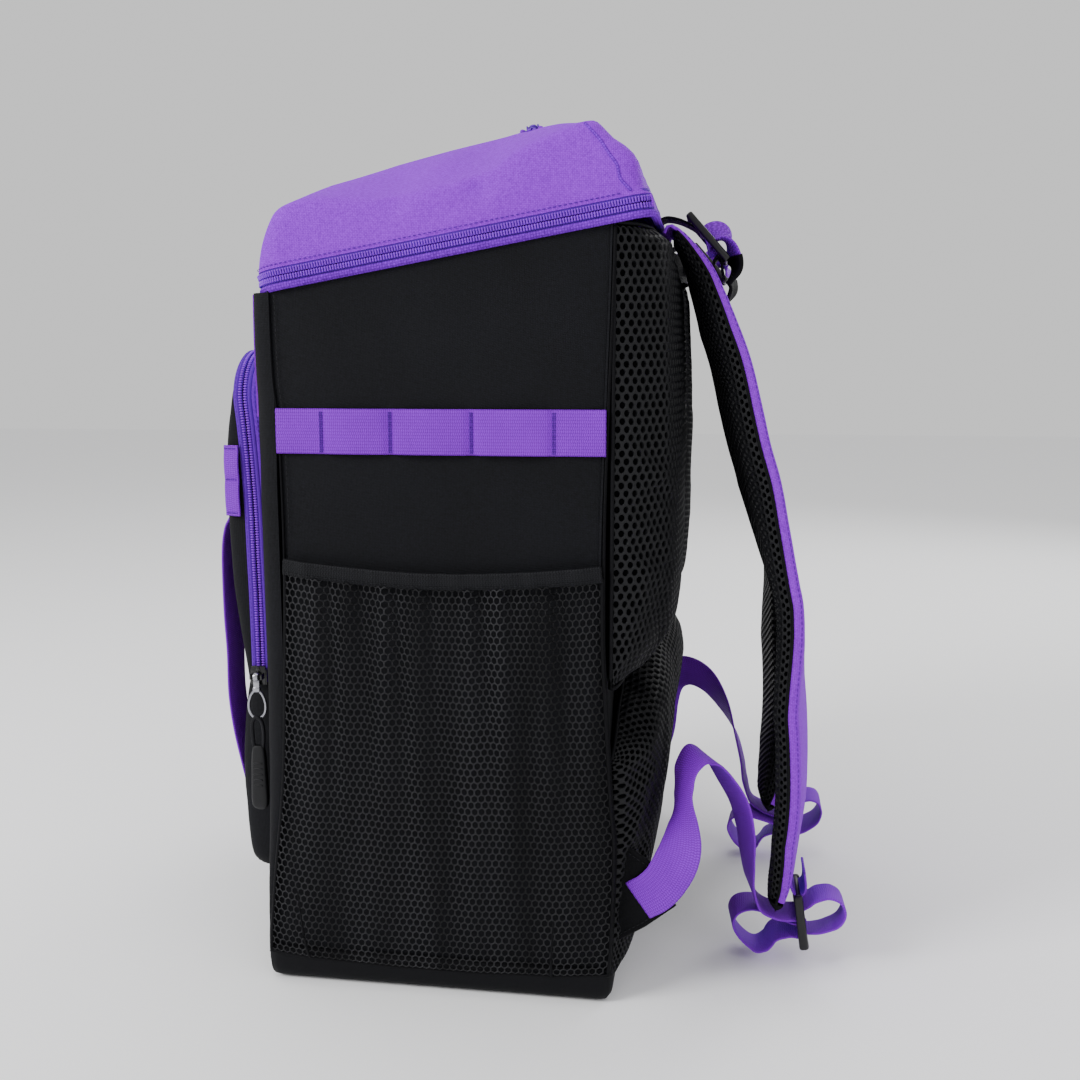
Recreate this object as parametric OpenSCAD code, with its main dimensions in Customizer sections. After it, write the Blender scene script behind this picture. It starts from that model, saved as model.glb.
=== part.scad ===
// Backpack-style skate bag: boxy body, zipped lid, zipped front pocket,
// side mesh pockets, padded back and two curved shoulder straps.
// Origin: centre of the flat base on the floor. +Z up, front pocket toward -Y,
// straps toward +Y, +X is the wearer's right.

/* [Body] */
// Width of the body between the outer faces of the side panels
body_w = 300; // [280:5:320]
// Thickness of the sewn fabric panels
panel_t = 2; // [1.5:0.5:2.5]
// Height of the reinforced boot round the base
boot_h = 20; // [14:1:20]
// Depth of a side mesh pocket
mesh_d = 8; // [7:0.5:9]

/* [Lid] */
// Slope of the lid zip, rising to the back, in degrees
lid_tilt = 10; // [9.5:0.5:10]
// Height of the lid hinge above the floor
hinge_z = 442; // [441:1:443]
// Distance of the lid hinge behind the centre
hinge_y = 116; // [115:1:117]
// Height of each fabric tape of the lid zip
tape_h = 8; // [6:1:8]

/* [Front pocket] */
// Width of the front pocket
pocket_w = 250; // [240:2:256]
// Height where the pocket flap folds down
flap_z = 174; // [172:1:176]

/* [Straps] */
// Centre of each shoulder strap from the middle of the back
strap_x = 80; // [78:1:82]
// Width of each shoulder strap
strap_w = 64; // [58:2:66]
// Full thickness of each padded strap
strap_t = 15; // [12:1:15]
// Width of the sewn webbing
web_w = 25; // [24:0.5:25]
// Thickness of the sewn webbing
web_t = 1.6; // [1.2:0.2:1.6]

/* [Hidden] */
hw = body_w / 2;
pw = pocket_w / 2;
$fn = 32;

// profiles in the Y-Z plane, from the base up
front_line = [[-101, 3.2], [-102, 63], [-103, 150], [-103, 252], [-103.3, 340], [-103.5, 372], [-97.8, 394], [-98.6, 403]];
back_line = [[96, 3.2], [99, 92], [97, 150], [94, 218], [94, 335], [97, 436]];
// outer face of a shoulder strap
strap_line = [[118.8, 430], [121.5, 435], [127, 433], [135, 426], [146, 413], [152, 402], [161, 382], [170, 358], [180, 318],
              [187, 294], [192, 269], [198, 238], [204, 208], [207, 176], [210, 143], [211, 110], [209, 84], [204, 58], [198, 42]];

function rev(p) = [for (i = [len(p) - 1:-1:0]) p[i]];
function shift(p, d) = [for (q = p) [q[0] + d, q[1]]];
function unit(v) = v / norm(v);
// direction of a path at point i
function along(p, i) = unit(p[min(i + 1, len(p) - 1)] - p[max(i - 1, 0)]);
// a path moved sideways by d, to its left
function side(p, d) = [for (i = [0:len(p) - 1]) let (t = along(p, i)) p[i] + d * [-t[1], t[0]]];
// a band between two side offsets of a path
function band(p, a, b) = concat(side(p, a), rev(side(p, b)));

module yz(x0, x1) { translate([x0, 0, 0]) rotate([90, 0, 90]) linear_extrude(x1 - x0) children(); }
module xz(y0, y1) { translate([0, y1, 0]) rotate([90, 0, 0]) linear_extrude(y1 - y0) children(); }
module tilt() { translate([0, hinge_y, hinge_z]) rotate([lid_tilt, 0, 0]) children(); }
module block(a, b) { translate(a) cube(b - a); }
module both() { children(); mirror([1, 0, 0]) children(); }

// flat webbing swept along a path in space; w holds the direction of its width at each point
module webbing(p, w, wide, t) {
  n = len(p);
  pts = [for (i = [0:n - 1])
      let (tg = unit(p[min(i + 1, n - 1)] - p[max(i - 1, 0)]),
           wd = unit(w[i] - (w[i] * tg) * tg),
           nm = cross(tg, wd))
      each [p[i] + wd * wide / 2 + nm * t / 2, p[i] - wd * wide / 2 + nm * t / 2,
            p[i] - wd * wide / 2 - nm * t / 2, p[i] + wd * wide / 2 - nm * t / 2]];
  sides = [for (i = [0:n - 2]) for (k = [0:3])
      let (a = i * 4 + k, b = i * 4 + (k + 1) % 4) each [[a, a + 4, b], [b, a + 4, b + 4]]];
  ends = [[0, 1, 2], [0, 2, 3], [n * 4 - 4, n * 4 - 2, n * 4 - 3], [n * 4 - 4, n * 4 - 1, n * 4 - 2]];
  polyhedron(pts, concat(sides, ends), convexity = 6);
}

// ---- body ----
module front_panel() { color("#17171b") yz(-hw, hw) polygon(concat([for (i = [0:4]) front_line[i]], rev([for (i = [0:4]) front_line[i] + [panel_t, 0]]))); }
module front_accent_panel() {
  color("#7a2ff0") yz(-hw, hw) polygon(concat([for (i = [4:7]) front_line[i]], rev([for (i = [4:7]) front_line[i] + [panel_t, 0]])));
}
module side_shape() {
  polygon(concat(shift(front_line, panel_t + 0.05), rev(shift(back_line, -panel_t - 0.05))));
}
module side_panel_right() { color("#1b1b20") yz(hw - panel_t, hw) side_shape(); }
module side_panel_left() { mirror([1, 0, 0]) side_panel_right(); }
module back_panel() { color("#141417") yz(-hw, hw) polygon(concat(back_line, rev(shift(back_line, -panel_t)))); }
// stiffener sheet inside the back, in front of the back panel
module back_board() { color("#dcdcdc") block([-135, 86, 8], [135, 89, 415]); }
module base_boot() {
  color("#101013") difference() {
    linear_extrude(boot_h) polygon([[-hw - 2, -97], [-hw + 4, -103.6], [hw - 4, -103.6], [hw + 2, -97], [hw + 2, 95], [hw - 2, 99.2], [-hw + 2, 99.2], [-hw - 2, 95]]);
    translate([0, 0, 3]) linear_extrude(boot_h) polygon([[-hw - 0.1, -101.6], [hw + 0.1, -101.6], [hw + 0.1, 97.4], [-hw - 0.1, 97.4]]);
  }
}
module base_board() { color("#c8c8c8") block([-145, -95, 3.1], [145, 84, 6]); }
module collar_zip_tape() {
  color("#7a2ff0") tilt() difference() {
    block([-hw - 2, -221, -1 - tape_h], [hw + 2, 0, -1]);
    block([-hw - 0.2, -219.2, -2 - tape_h], [hw + 0.2, -2, 0]);
  }
}

// ---- back pads ----
module upper_pad() {
  intersection() {
    yz(14, 147) polygon([[97.6, 190], [112, 197], [126, 212], [130, 249], [130, 321], [128, 366], [121, 388], [110, 400], [97.6, 402]]);
    translate([0, 0, 180]) linear_extrude(240) polygon([[14, 97.5], [17, 108], [28, 120], [50, 128], [75, 130.5], [100, 128], [122, 121], [140, 109], [147, 97.5]]);
    xz(90, 135) polygon([[10, 205], [40, 204], [90, 200], [147, 186], [150, 410], [10, 410]]);
  }
}
module upper_back_pad_right() { color("#222228") upper_pad(); }
module upper_back_pad_left() { color("#222228") mirror([1, 0, 0]) upper_pad(); }
module lumbar_pad() {
  color("#222228") intersection() {
    yz(-138, 138) polygon([[99.2, 14], [102, 14], [108, 24], [112, 40], [116, 77], [120, 96], [125, 132], [128.5, 160], [126, 184], [117, 196], [99.2, 199]]);
    xz(90, 135) polygon([[-138, 10], [138, 10], [138, 138], [120, 160], [90, 178], [50, 188], [0, 191], [-50, 188], [-90, 178], [-120, 160], [-138, 138]]);
  }
}

// ---- side loops and mesh pockets ----
module side_webbing_right() {
  p = [[-90, 0], [-66, 0], [-58, 2.4], [-38, 2.4], [-30, 0], [-22, 2.4], [6, 2.4], [14, 0], [22, 2.4], [53, 2.4], [61, 0], [91.5, 0]];
  color("#7a2ff0") translate([0, 0, 310.4]) linear_extrude(web_w - 0.3)
    polygon([each [for (q = p) [hw + 0.1 + q[1], q[0]]], each rev([for (q = p) [hw + 0.1 + q[1] + web_t, q[0]]])]);
}
module side_webbing_left() { mirror([1, 0, 0]) side_webbing_right(); }
module mesh_pocket_right() {
  color("#2a2a30") difference() {
    yz(hw + 0.1, hw + mesh_d) polygon([[-98, 20.2], [-94, 120], [-90, 190], [-88, 243], [91, 243], [92, 190], [96, 120], [95.5, 20.2]]);
    yz(hw, hw + mesh_d - 1.2) polygon([[-96.6, 21.6], [-92.6, 120], [-88.6, 190], [-86.6, 244], [89.6, 244], [90.6, 190], [94.6, 120], [94.1, 21.6]]);
  }
}
module mesh_pocket_left() { mirror([1, 0, 0]) mesh_pocket_right(); }
module pocket_elastic_right() {
  color("#0d0d10") difference() {
    block([hw + 0.1, -88, 243.2], [hw + mesh_d + 1, 91, 252.5]);
    block([hw, -86, 241], [hw + mesh_d - 1.4, 89, 254]);
  }
}
module pocket_elastic_left() { mirror([1, 0, 0]) pocket_elastic_right(); }
// sewn triangle of doubled fabric that carries the lower strap webbing
module wing_right() { color("#17171b") yz(141, 143.6) polygon([[99.4, 34], [116, 45.6], [132.6, 59], [117, 82], [99.4, 96]]); }
module wing_left() { mirror([1, 0, 0]) wing_right(); }

// ---- front pocket ----
module pocket_outline(o) { polygon([[-pw - o, 40], [pw + o, 40], [pw + o, 343 + o * 0.4], [pw - 24 + o * 0.4, 367 + o], [-pw + 24 - o * 0.4, 367 + o], [-pw - o, 343 + o * 0.4]]); }
module behind_front() { yz(-200, 200) polygon(concat(shift(front_line, -0.1), [[0, 403], [0, 3.2]])); }
module flap_side(d) {
  polygon([[-113.5 + 3 * d, flap_z + 2], [-113.5 + 3 * d, 366 - d], [-119, 362 - d], [-124 + d * 0.6, 352 - d], [-129 + d, 333], [-132 + d, 322], [-134.5 + d, 298],
           [-133 + d, 244], [-130.5 + d, 215], [-127.5 + d, 194], [-124 + d, flap_z + 2]]);
}
module pocket_flap() {
  color("#17171b") difference() {
    intersection() { yz(-pw, pw) flap_side(0); xz(-140, -113.5) pocket_outline(0); }
    intersection() { yz(-pw + 2, pw - 2) union() { flap_side(2); polygon([[-123.5, flap_z], [-100, flap_z], [-100, flap_z + 5], [-123.5, flap_z + 5]]); } xz(-140, -90) pocket_outline(-2); }
  }
}
module pocket_gusset() {
  color("#6a28d8") difference() {
    xz(-113.1, -93) difference() { pocket_outline(0); pocket_outline(-2); }
    block([-200, -120, 30], [200, -80, 172]);
    behind_front();
  }
}
module pocket_tape(y0, y1) {
  difference() {
    xz(y0, y1) difference() { pocket_outline(1.3); pocket_outline(0.1); }
    block([-200, y0 - 1, 30], [200, y1 + 1, flap_z + 3]);
  }
}
module gusset_zip_tape() { color("#7a2ff0") pocket_tape(-113.1, -107.5); }
module flap_zip_tape() { color("#7a2ff0") pocket_tape(-119.5, -113.5); }
module lower_side(d) {
  polygon([[-80, 54 + d], [-119.5 + d * 0.5, 54.3 + d], [-124.6 + d, 57 + d * 0.6], [-128 + d, 80.6], [-130 + d, 103], [-129 + d, 143], [-127 + d, 160], [-124 + d, 171.5 + d], [-80, 171.5 + d]]);
}
module pocket_lower() {
  color("#17171b") difference() {
    yz(-pw, pw) lower_side(0);
    yz(-pw + 2, pw - 2) lower_side(2);
    behind_front();
  }
}
module front_loop_webbing() {
  color("#7a2ff0") both() yz(pw + 0.2, pw + 0.2 + web_t) polygon([[-132.4, 272], [-132.4, 312], [-120.6, 312], [-120.6, 272]]);
}
module front_carry_straps() {
  p = [[-136.4, 312], [-137.4, 300], [-136.8, 286], [-136, 272], [-140, 262], [-142.4, 246], [-142.6, 212], [-141.5, 186], [-141.6, 160], [-139, 138], [-135.5, 118], [-131.6, 103]];
  color("#7a2ff0") both() yz(84, 84 + web_w) polygon(band(p, -web_t / 2, web_t / 2));
}

// ---- zip sliders: u along the pull's axle, v away from the pull, w off the tape ----
module slider(lu, lv) {
  translate([-lu / 2, -lv / 2, 0.3]) cube([lu, lv, 3]);
  for (s = [-1, 1]) translate([s * 3.3 - 0.6, -1.5, 3.2]) cube([1.2, 3, 4.3]);
  translate([-3.6, 0, 6]) rotate([0, 90, 0]) cylinder(r = 0.8, h = 7.2);
}
module eye(half) {
  difference() {
    union() {
      translate([-half, 0, 6]) rotate([0, 90, 0]) cylinder(r = 2.2, h = 2 * half);
      translate([-half, -8, 5]) cube([2 * half, 7, 2]);
    }
    translate([-10, 0, 6]) rotate([0, 90, 0]) cylinder(r = 1.15, h = 20);
  }
}
module at_lid_slider(s) { translate([s * 10, -102.9, 403.6]) rotate([90, 0, 0]) children(); }
module lid_slider_right() { color("#6a28d8") at_lid_slider(1) slider(13, 10); }
module lid_slider_left() { color("#6a28d8") at_lid_slider(-1) slider(13, 10); }
module lid_pull(s) {
  at_lid_slider(s) { eye(2.2); translate([-3.6, -27, 4.6]) cube([7.2, 20, 2.8]); }
}
module lid_pull_right() { color("#6a28d8") lid_pull(1); }
module lid_pull_left() { color("#6a28d8") lid_pull(-1); }

// pocket slider and its hanging pull, on the wearer's right of the pocket
module at_pocket_slider() { translate([pw + 1.5, -113.6, 178]) rotate([90, 0, 90]) children(); }
module pocket_slider() { color("#0c0c0e") at_pocket_slider() slider(11, 10); }
module pull_ring() {
  color("#b9bcc2") at_pocket_slider() {
    eye(2.2);
    translate([0, -17.5, 6]) difference() {
      union() { cylinder(r = 7, h = 1.8, center = true); translate([-2.2, 3, -0.9]) cube([4.4, 8, 1.8]); }
      cylinder(r = 5.2, h = 4, center = true);
    }
  }
}
module pull_cord() {
  color("#101013") at_pocket_slider() { for (s = [-1, 1]) translate([s * 3.4, -26, 6]) rotate([90, 0, 0]) cylinder(r = 1.3, h = 17); }
}
module pull_grip() {
  color("#0f0f12") at_pocket_slider() hull() {
    translate([-6, -48, 3.4]) cube([12, 4, 5]);
    translate([-7, -70, 3.4]) cube([14, 4, 5]);
    translate([0, -76, 3.4]) cylinder(r = 5, h = 5);
  }
}

// ---- lid, in the sloping frame of its zip ----
module lid_zip_tape() {
  color("#7a2ff0") tilt() difference() {
    block([-hw - 2, -221, 1], [hw + 2, 0, 1 + tape_h]);
    block([-hw - 0.2, -219.2, 0], [hw + 0.2, -2, 2 + tape_h]);
  }
}
module lid_form(o) {
  hull() {
    block([-hw - 1 + o, -219 + o, 9.1 - (o > 0 ? 1 : 0)], [hw + 1 - o, -3 - o, 9.6]);
    block([-hw + 2 + o, -211 + o, 29 - o], [hw - 2 - o, -15 - o, 30 - o]);
    for (s = [-1, 1]) {
      block([s * (hw - 8 - o) - 1, -201 + o, 35 - o], [s * (hw - 8 - o) + 1, -196 + o, 36 - o]);
      block([s * (hw - 10 - o) - 1, -66, 39 - o], [s * (hw - 10 - o) + 1, -64, 40 - o]);
      block([s * (hw - 10 - o) - 1, -34 - o, 46 - o], [s * (hw - 10 - o) + 1, -31 - o, 47.5 - o]);
    }
    block([-62 + o, -187 + o, 51 - o], [62 - o, -186 + o, 52 - o]);
    block([-62 + o, -151, 59 - o], [62 - o, -150, 60 - o]);
    block([-62 + o, -112, 65 - o], [62 - o, -78, 66.5 - o]);
    block([-62 + o, -45 - o, 65 - o], [62 - o, -44 - o, 66 - o]);
  }
}
module lid_shell() { color("#7a2ff0") tilt() difference() { lid_form(0); lid_form(2); } }
module lid_patch() { color("#8b4af5") tilt() translate([0, -186.4, 52.3]) rotate([12.2, 0, 0]) block([-42, 1, 0.7], [42, 34, 2.7]); }
module lid_pocket_zip() { color("#6a28d8") tilt() block([-60, -74, 66.6], [60, -60, 67.6]); }
module lid_pocket_slider() { color("#6a28d8") tilt() translate([50, -67, 67.7]) slider(8, 11); }

// ---- back top: yoke block and grab handle ----
module strap_yoke() { color("#141417") block([-140, 97.7, 404], [140, 113.4, 432]); }
module grab_handle() {
  p = [[-43, 114.4], [-38, 116], [-33, 123], [-24, 128.4], [0, 131], [24, 128.4], [33, 123], [38, 116], [43, 114.4]];
  color("#101013") translate([0, 0, 408]) linear_extrude(20) polygon(band(p, -0.8, 0.8));
}

// ---- shoulder straps ----
module strap_plan(o) { polygon([[strap_x - strap_w / 2 + o, 445], [strap_x + strap_w / 2 - o, 445], [strap_x + strap_w / 2 - o, 150], [strap_x + 25 - o, 34], [strap_x - 25 + o, 34], [strap_x - strap_w / 2 + o, 150]]); }
module strap_cover() { intersection() { yz(40, 120) polygon(band(strap_line, 0, -3.5)); xz(100, 240) strap_plan(0); } }
module strap_pad() { intersection() { yz(40, 120) polygon(band([for (i = [2:len(strap_line) - 1]) strap_line[i]], -3.6, -strap_t)); xz(100, 240) strap_plan(1); } }
module ladder_lock() {
  translate([strap_x, 206, 30]) rotate([8, 0, 0]) difference() {
    translate([-17, -3, -17]) cube([34, 6.4, 34]);
    for (z = [-11, -1, 9]) translate([-13, -10, z - 2]) cube([26, 20, 4.5]);
  }
}
module adjuster_tail() {
  r = [[211, 39], [216, 43.5], [223, 45.5], [230, 42.5], [231.5, 35], [227, 28], [219, 23], [212.2, 20.5]];
  l = [[200, 26], [188, 31], [176, 33], [167, 29], [165.6, 22], [171, 13], [179, 6.6], [185.5, 10], [191, 17], [198.6, 19]];
  yz(strap_x - web_w / 2, strap_x + web_w / 2) { polygon(band(r, -0.8, 0.8)); polygon(band(l, -0.8, 0.8)); }
}
module adjuster_webbing() {
  p = [[145.4, 121, 67], [145.2, 128.5, 76], [141, 134.5, 89], [133, 136, 104], [125, 136, 119], [118, 138, 131], [113, 143.5, 137], [108, 151, 133],
       [104, 160, 120], [100, 168, 104], [97, 172, 86], [94, 173.5, 68], [91, 175.5, 52], [88, 181, 39], [86, 190, 33.5], [86, 199.6, 33]];
  w = [[0, 0.66, -0.83], [0.05, 0.6, -0.8], [0.5, 0.4, -0.75], [0.9, 0.2, -0.35], [1, 0, -0.1], [1, 0, 0], [1, 0, 0], [1, 0, 0],
       [1, 0, 0], [1, 0, 0], [1, 0, 0], [1, 0, 0], [1, 0, 0], [1, 0, 0], [1, 0, 0], [1, 0, 0]];
  webbing(p, w, web_w, web_t);
}
module lifter_webbing() { yz(strap_x - 12, strap_x + 12) polygon(band([[116.4, 440], [120, 440.6], [126, 439.4], [129.6, 437]], -0.6, 0.6)); }
module lifter_buckle() {
  translate([strap_x, 140.5, 428]) rotate([-48.5, 0, 0]) difference() {
    translate([-17, -16, 1]) cube([34, 33, 4]);
    for (y = [-9, 0.5, 10]) translate([-13, y - 2.5, -5]) cube([26, 5, 20]);
  }
}
module lifter_tail() { yz(strap_x - web_w / 2, strap_x + web_w / 2) polygon(band([[144, 433.5], [150, 433], [156, 427.5], [159.5, 419], [161, 410], [158, 404.6]], -0.9, 0.9)); }

module strap_pad_right() { color("#222228") strap_pad(); }
module strap_cover_right() { color("#7a2ff0") strap_cover(); }
module ladder_lock_right() { color("#0c0c0e") ladder_lock(); }
module adjuster_tail_right() { color("#7a2ff0") adjuster_tail(); }
module adjuster_webbing_right() { color("#7a2ff0") adjuster_webbing(); }
module lifter_webbing_right() { color("#0f0f12") lifter_webbing(); }
module lifter_buckle_right() { color("#0c0c0e") lifter_buckle(); }
module lifter_tail_right() { color("#7a2ff0") lifter_tail(); }
module strap_pad_left() { mirror([1, 0, 0]) strap_pad_right(); }
module strap_cover_left() { mirror([1, 0, 0]) strap_cover_right(); }
module ladder_lock_left() { mirror([1, 0, 0]) ladder_lock_right(); }
module adjuster_tail_left() { mirror([1, 0, 0]) adjuster_tail_right(); }
module adjuster_webbing_left() { mirror([1, 0, 0]) adjuster_webbing_right(); }
module lifter_webbing_left() { mirror([1, 0, 0]) lifter_webbing_right(); }
module lifter_buckle_left() { mirror([1, 0, 0]) lifter_buckle_right(); }
module lifter_tail_left() { mirror([1, 0, 0]) lifter_tail_right(); }

front_panel();
front_accent_panel();
side_panel_right();
side_panel_left();
back_panel();
back_board();
base_boot();
base_board();
collar_zip_tape();
upper_back_pad_right();
upper_back_pad_left();
lumbar_pad();
side_webbing_right();
side_webbing_left();
mesh_pocket_right();
mesh_pocket_left();
pocket_elastic_right();
pocket_elastic_left();
wing_right();
wing_left();
pocket_gusset();
gusset_zip_tape();
pocket_lower();
strap_yoke();
grab_handle();
lid_shell();
lid_zip_tape();
lid_patch();
lid_pocket_zip();
lid_pocket_slider();
lid_slider_right();
lid_slider_left();
lid_pull_right();
lid_pull_left();
pocket_flap();
flap_zip_tape();
front_loop_webbing();
front_carry_straps();
pocket_slider();
pull_ring();
pull_cord();
pull_grip();
strap_pad_right();
strap_cover_right();
ladder_lock_right();
adjuster_tail_right();
adjuster_webbing_right();
lifter_webbing_right();
lifter_buckle_right();
lifter_tail_right();
strap_pad_left();
strap_cover_left();
ladder_lock_left();
adjuster_tail_left();
adjuster_webbing_left();
lifter_webbing_left();
lifter_buckle_left();
lifter_tail_left();
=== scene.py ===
import bpy
import math
import numpy as np
from mathutils import Vector, Matrix


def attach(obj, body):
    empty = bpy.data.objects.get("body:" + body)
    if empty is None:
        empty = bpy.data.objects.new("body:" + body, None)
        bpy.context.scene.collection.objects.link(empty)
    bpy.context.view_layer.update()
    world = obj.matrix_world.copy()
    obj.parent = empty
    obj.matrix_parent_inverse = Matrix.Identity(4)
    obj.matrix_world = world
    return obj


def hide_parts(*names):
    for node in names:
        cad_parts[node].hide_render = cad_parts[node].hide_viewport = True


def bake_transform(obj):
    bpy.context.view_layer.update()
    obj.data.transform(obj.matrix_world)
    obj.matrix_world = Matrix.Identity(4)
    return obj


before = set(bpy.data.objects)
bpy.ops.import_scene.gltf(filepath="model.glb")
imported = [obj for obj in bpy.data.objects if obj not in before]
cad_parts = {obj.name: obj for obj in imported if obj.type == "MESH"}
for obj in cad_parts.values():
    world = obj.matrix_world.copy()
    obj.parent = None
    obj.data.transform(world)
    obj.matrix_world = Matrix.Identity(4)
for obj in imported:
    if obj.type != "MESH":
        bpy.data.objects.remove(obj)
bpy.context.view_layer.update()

RNG = np.random.default_rng(7)
pi = math.pi

# ------------------------------------------------------------------ camera, stage, light
cam_data = bpy.data.cameras.new("cam")
cam = bpy.data.objects.new("cam", cam_data)
bpy.context.scene.collection.objects.link(cam)
bpy.context.scene.camera = cam
cam_data.lens, cam_data.sensor_width = 39.0, 36.0
cam_data.clip_start, cam_data.clip_end = 0.02, 50
cam.location = (0.7676, 0.1506, 0.3552)
th, ph = math.radians(8.6), math.radians(8.2)
fwd = Vector((-math.cos(th) * math.cos(ph), -math.sin(th) * math.cos(ph), -math.sin(ph)))
cam.rotation_mode = "QUATERNION"
cam.rotation_quaternion = fwd.to_track_quat("-Z", "Y")


def plain_stage(name, size, z, col):
    me = bpy.data.meshes.new(name)
    s = size / 2
    me.from_pydata([(-s, -s, z), (s, -s, z), (s, s, z), (-s, s, z)], [], [(0, 1, 2, 3)])
    ob = bpy.data.objects.new(name, me)
    bpy.context.scene.collection.objects.link(ob)
    m = bpy.data.materials.new(name)
    m.use_nodes = True
    b = m.node_tree.nodes["Principled BSDF"]
    b.inputs["Base Color"].default_value = (*col, 1)
    b.inputs["Roughness"].default_value = 0.85
    me.materials.append(m)
    return ob


plain_stage("floor", 12.0, 0.0, (0.93, 0.93, 0.94))
world = bpy.data.worlds.new("studio")
bpy.context.scene.world = world
world.use_nodes = True
world.node_tree.nodes["Background"].inputs[0].default_value = (1, 1, 1, 1)
world.node_tree.nodes["Background"].inputs[1].default_value = 0.85


def area(name, loc, target, size, power):
    d = bpy.data.lights.new(name, "AREA")
    d.shape, d.size, d.energy = "SQUARE", size, power
    o = bpy.data.objects.new(name, d)
    bpy.context.scene.collection.objects.link(o)
    o.location = loc
    o.rotation_mode = "QUATERNION"
    o.rotation_quaternion = (Vector(target) - Vector(loc)).to_track_quat("-Z", "Y")
    return o


area("key", (1.25, -1.45, 1.35), (0, 0, 0.3), 0.8, 40)
area("fill", (1.4, 1.3, 0.9), (0, 0.05, 0.25), 1.2, 6)
area("top", (0.1, -0.2, 1.9), (0, 0, 0.3), 1.2, 10)
area("back", (-1.4, 1.0, 1.2), (0, 0, 0.25), 1.2, 14)


# ------------------------------------------------------------------ materials
class M:
    """A small node-graph writer for one material."""

    def __init__(self, name):
        self.m = bpy.data.materials.new(name)
        self.m.use_nodes = True
        self.t = self.m.node_tree
        self.b = self.t.nodes["Principled BSDF"]

    def new(self, kind, **kw):
        n = self.t.nodes.new(kind)
        for k, v in kw.items():
            setattr(n, k, v)
        return n

    def put(self, sock, v):
        if isinstance(v, bpy.types.NodeSocket):
            self.t.links.new(v, sock)
        elif v is not None:
            sock.default_value = v

    def math(self, op, a, b=None, c=None, clamp=False):
        n = self.new("ShaderNodeMath", operation=op, use_clamp=clamp)
        self.put(n.inputs[0], a)
        self.put(n.inputs[1], b)
        self.put(n.inputs[2], c)
        return n.outputs[0]

    def uv(self):
        n = self.new("ShaderNodeUVMap")
        s = self.new("ShaderNodeSeparateXYZ")
        self.t.links.new(n.outputs[0], s.inputs[0])
        return s.outputs[0], s.outputs[1]

    def obj(self):
        return self.new("ShaderNodeTexCoord").outputs["Object"]

    def noise(self, scale, detail=2.0, rough=0.5, vec=None):
        n = self.new("ShaderNodeTexNoise")
        n.inputs["Scale"].default_value = scale
        n.inputs["Detail"].default_value = detail
        n.inputs["Roughness"].default_value = rough
        self.put(n.inputs["Vector"], vec if vec is not None else self.obj())
        return n.outputs[0]

    def mix(self, f, a, b):
        n = self.new("ShaderNodeMix", data_type="RGBA")
        self.put(n.inputs["Factor"], f)
        self.put(n.inputs[6], (*a, 1) if isinstance(a, tuple) else a)
        self.put(n.inputs[7], (*b, 1) if isinstance(b, tuple) else b)
        return n.outputs[2]

    def bump(self, height, strength, dist, normal=None):
        n = self.new("ShaderNodeBump")
        n.inputs["Strength"].default_value = strength
        n.inputs["Distance"].default_value = dist
        self.put(n.inputs["Height"], height)
        self.put(n.inputs["Normal"], normal)
        return n.outputs[0]

    def done(self, col=None, rough=None, normal=None, spec=0.5, metal=0.0, sheen=0.0, sheen_tint=None, coat=0.0):
        b = self.b
        self.put(b.inputs["Base Color"], (*col, 1) if isinstance(col, tuple) else col)
        self.put(b.inputs["Roughness"], rough)
        self.put(b.inputs["Normal"], normal)
        b.inputs["Specular IOR Level"].default_value = spec
        b.inputs["Metallic"].default_value = metal
        b.inputs["Sheen Weight"].default_value = sheen
        b.inputs["Sheen Roughness"].default_value = 0.45
        b.inputs["Coat Weight"].default_value = coat
        if sheen_tint:
            b.inputs["Sheen Tint"].default_value = (*sheen_tint, 1)
        return self.m


def shade(c, k):
    return tuple(min(1.0, x * k) for x in c)


def weave(name, col, pitch=0.95, contrast=0.55, bump=0.5, rough=0.8, sheen=0.0, spec=0.12, big=0.16):
    """Plain-weave polyester: warp and weft crossings, with slubs and slow tone changes."""
    m = M(name)
    u, v = m.uv()
    k = pi / (pitch * 0.001)
    wob = m.noise(260.0, 2.0)
    du = m.math("MULTIPLY", m.math("SUBTRACT", wob, 0.5), 0.9)
    su = m.math("SINE", m.math("ADD", m.math("MULTIPLY", u, k), du))
    sv = m.math("SINE", m.math("ADD", m.math("MULTIPLY", v, k), du))
    s = m.math("MULTIPLY", su, sv)
    a = m.math("POWER", m.math("ABSOLUTE", s), 0.6)
    slub = m.noise(620.0, 3.0, 0.7)
    big_n = m.noise(14.0, 3.0, 0.6)
    f = m.math("ADD", m.math("MULTIPLY", a, 0.5), m.math("MULTIPLY", m.math("SUBTRACT", slub, 0.5), 1.5))
    f = m.math("ADD", f, m.math("MULTIPLY_ADD", s, 0.12, 0.16))
    f = m.math("ADD", f, m.math("MULTIPLY", m.math("SUBTRACT", big_n, 0.5), big * 3), clamp=True)
    c = m.mix(f, shade(col, 1 - contrast), shade(col, 1 + contrast * 0.75))
    h = m.math("ADD", a, m.math("MULTIPLY", slub, 0.5))
    n = m.bump(h, bump, 0.0003)
    r = m.math("MULTIPLY_ADD", a, -0.12, rough + 0.06)
    return m.done(c, r, n, spec=spec, sheen=sheen)


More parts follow.
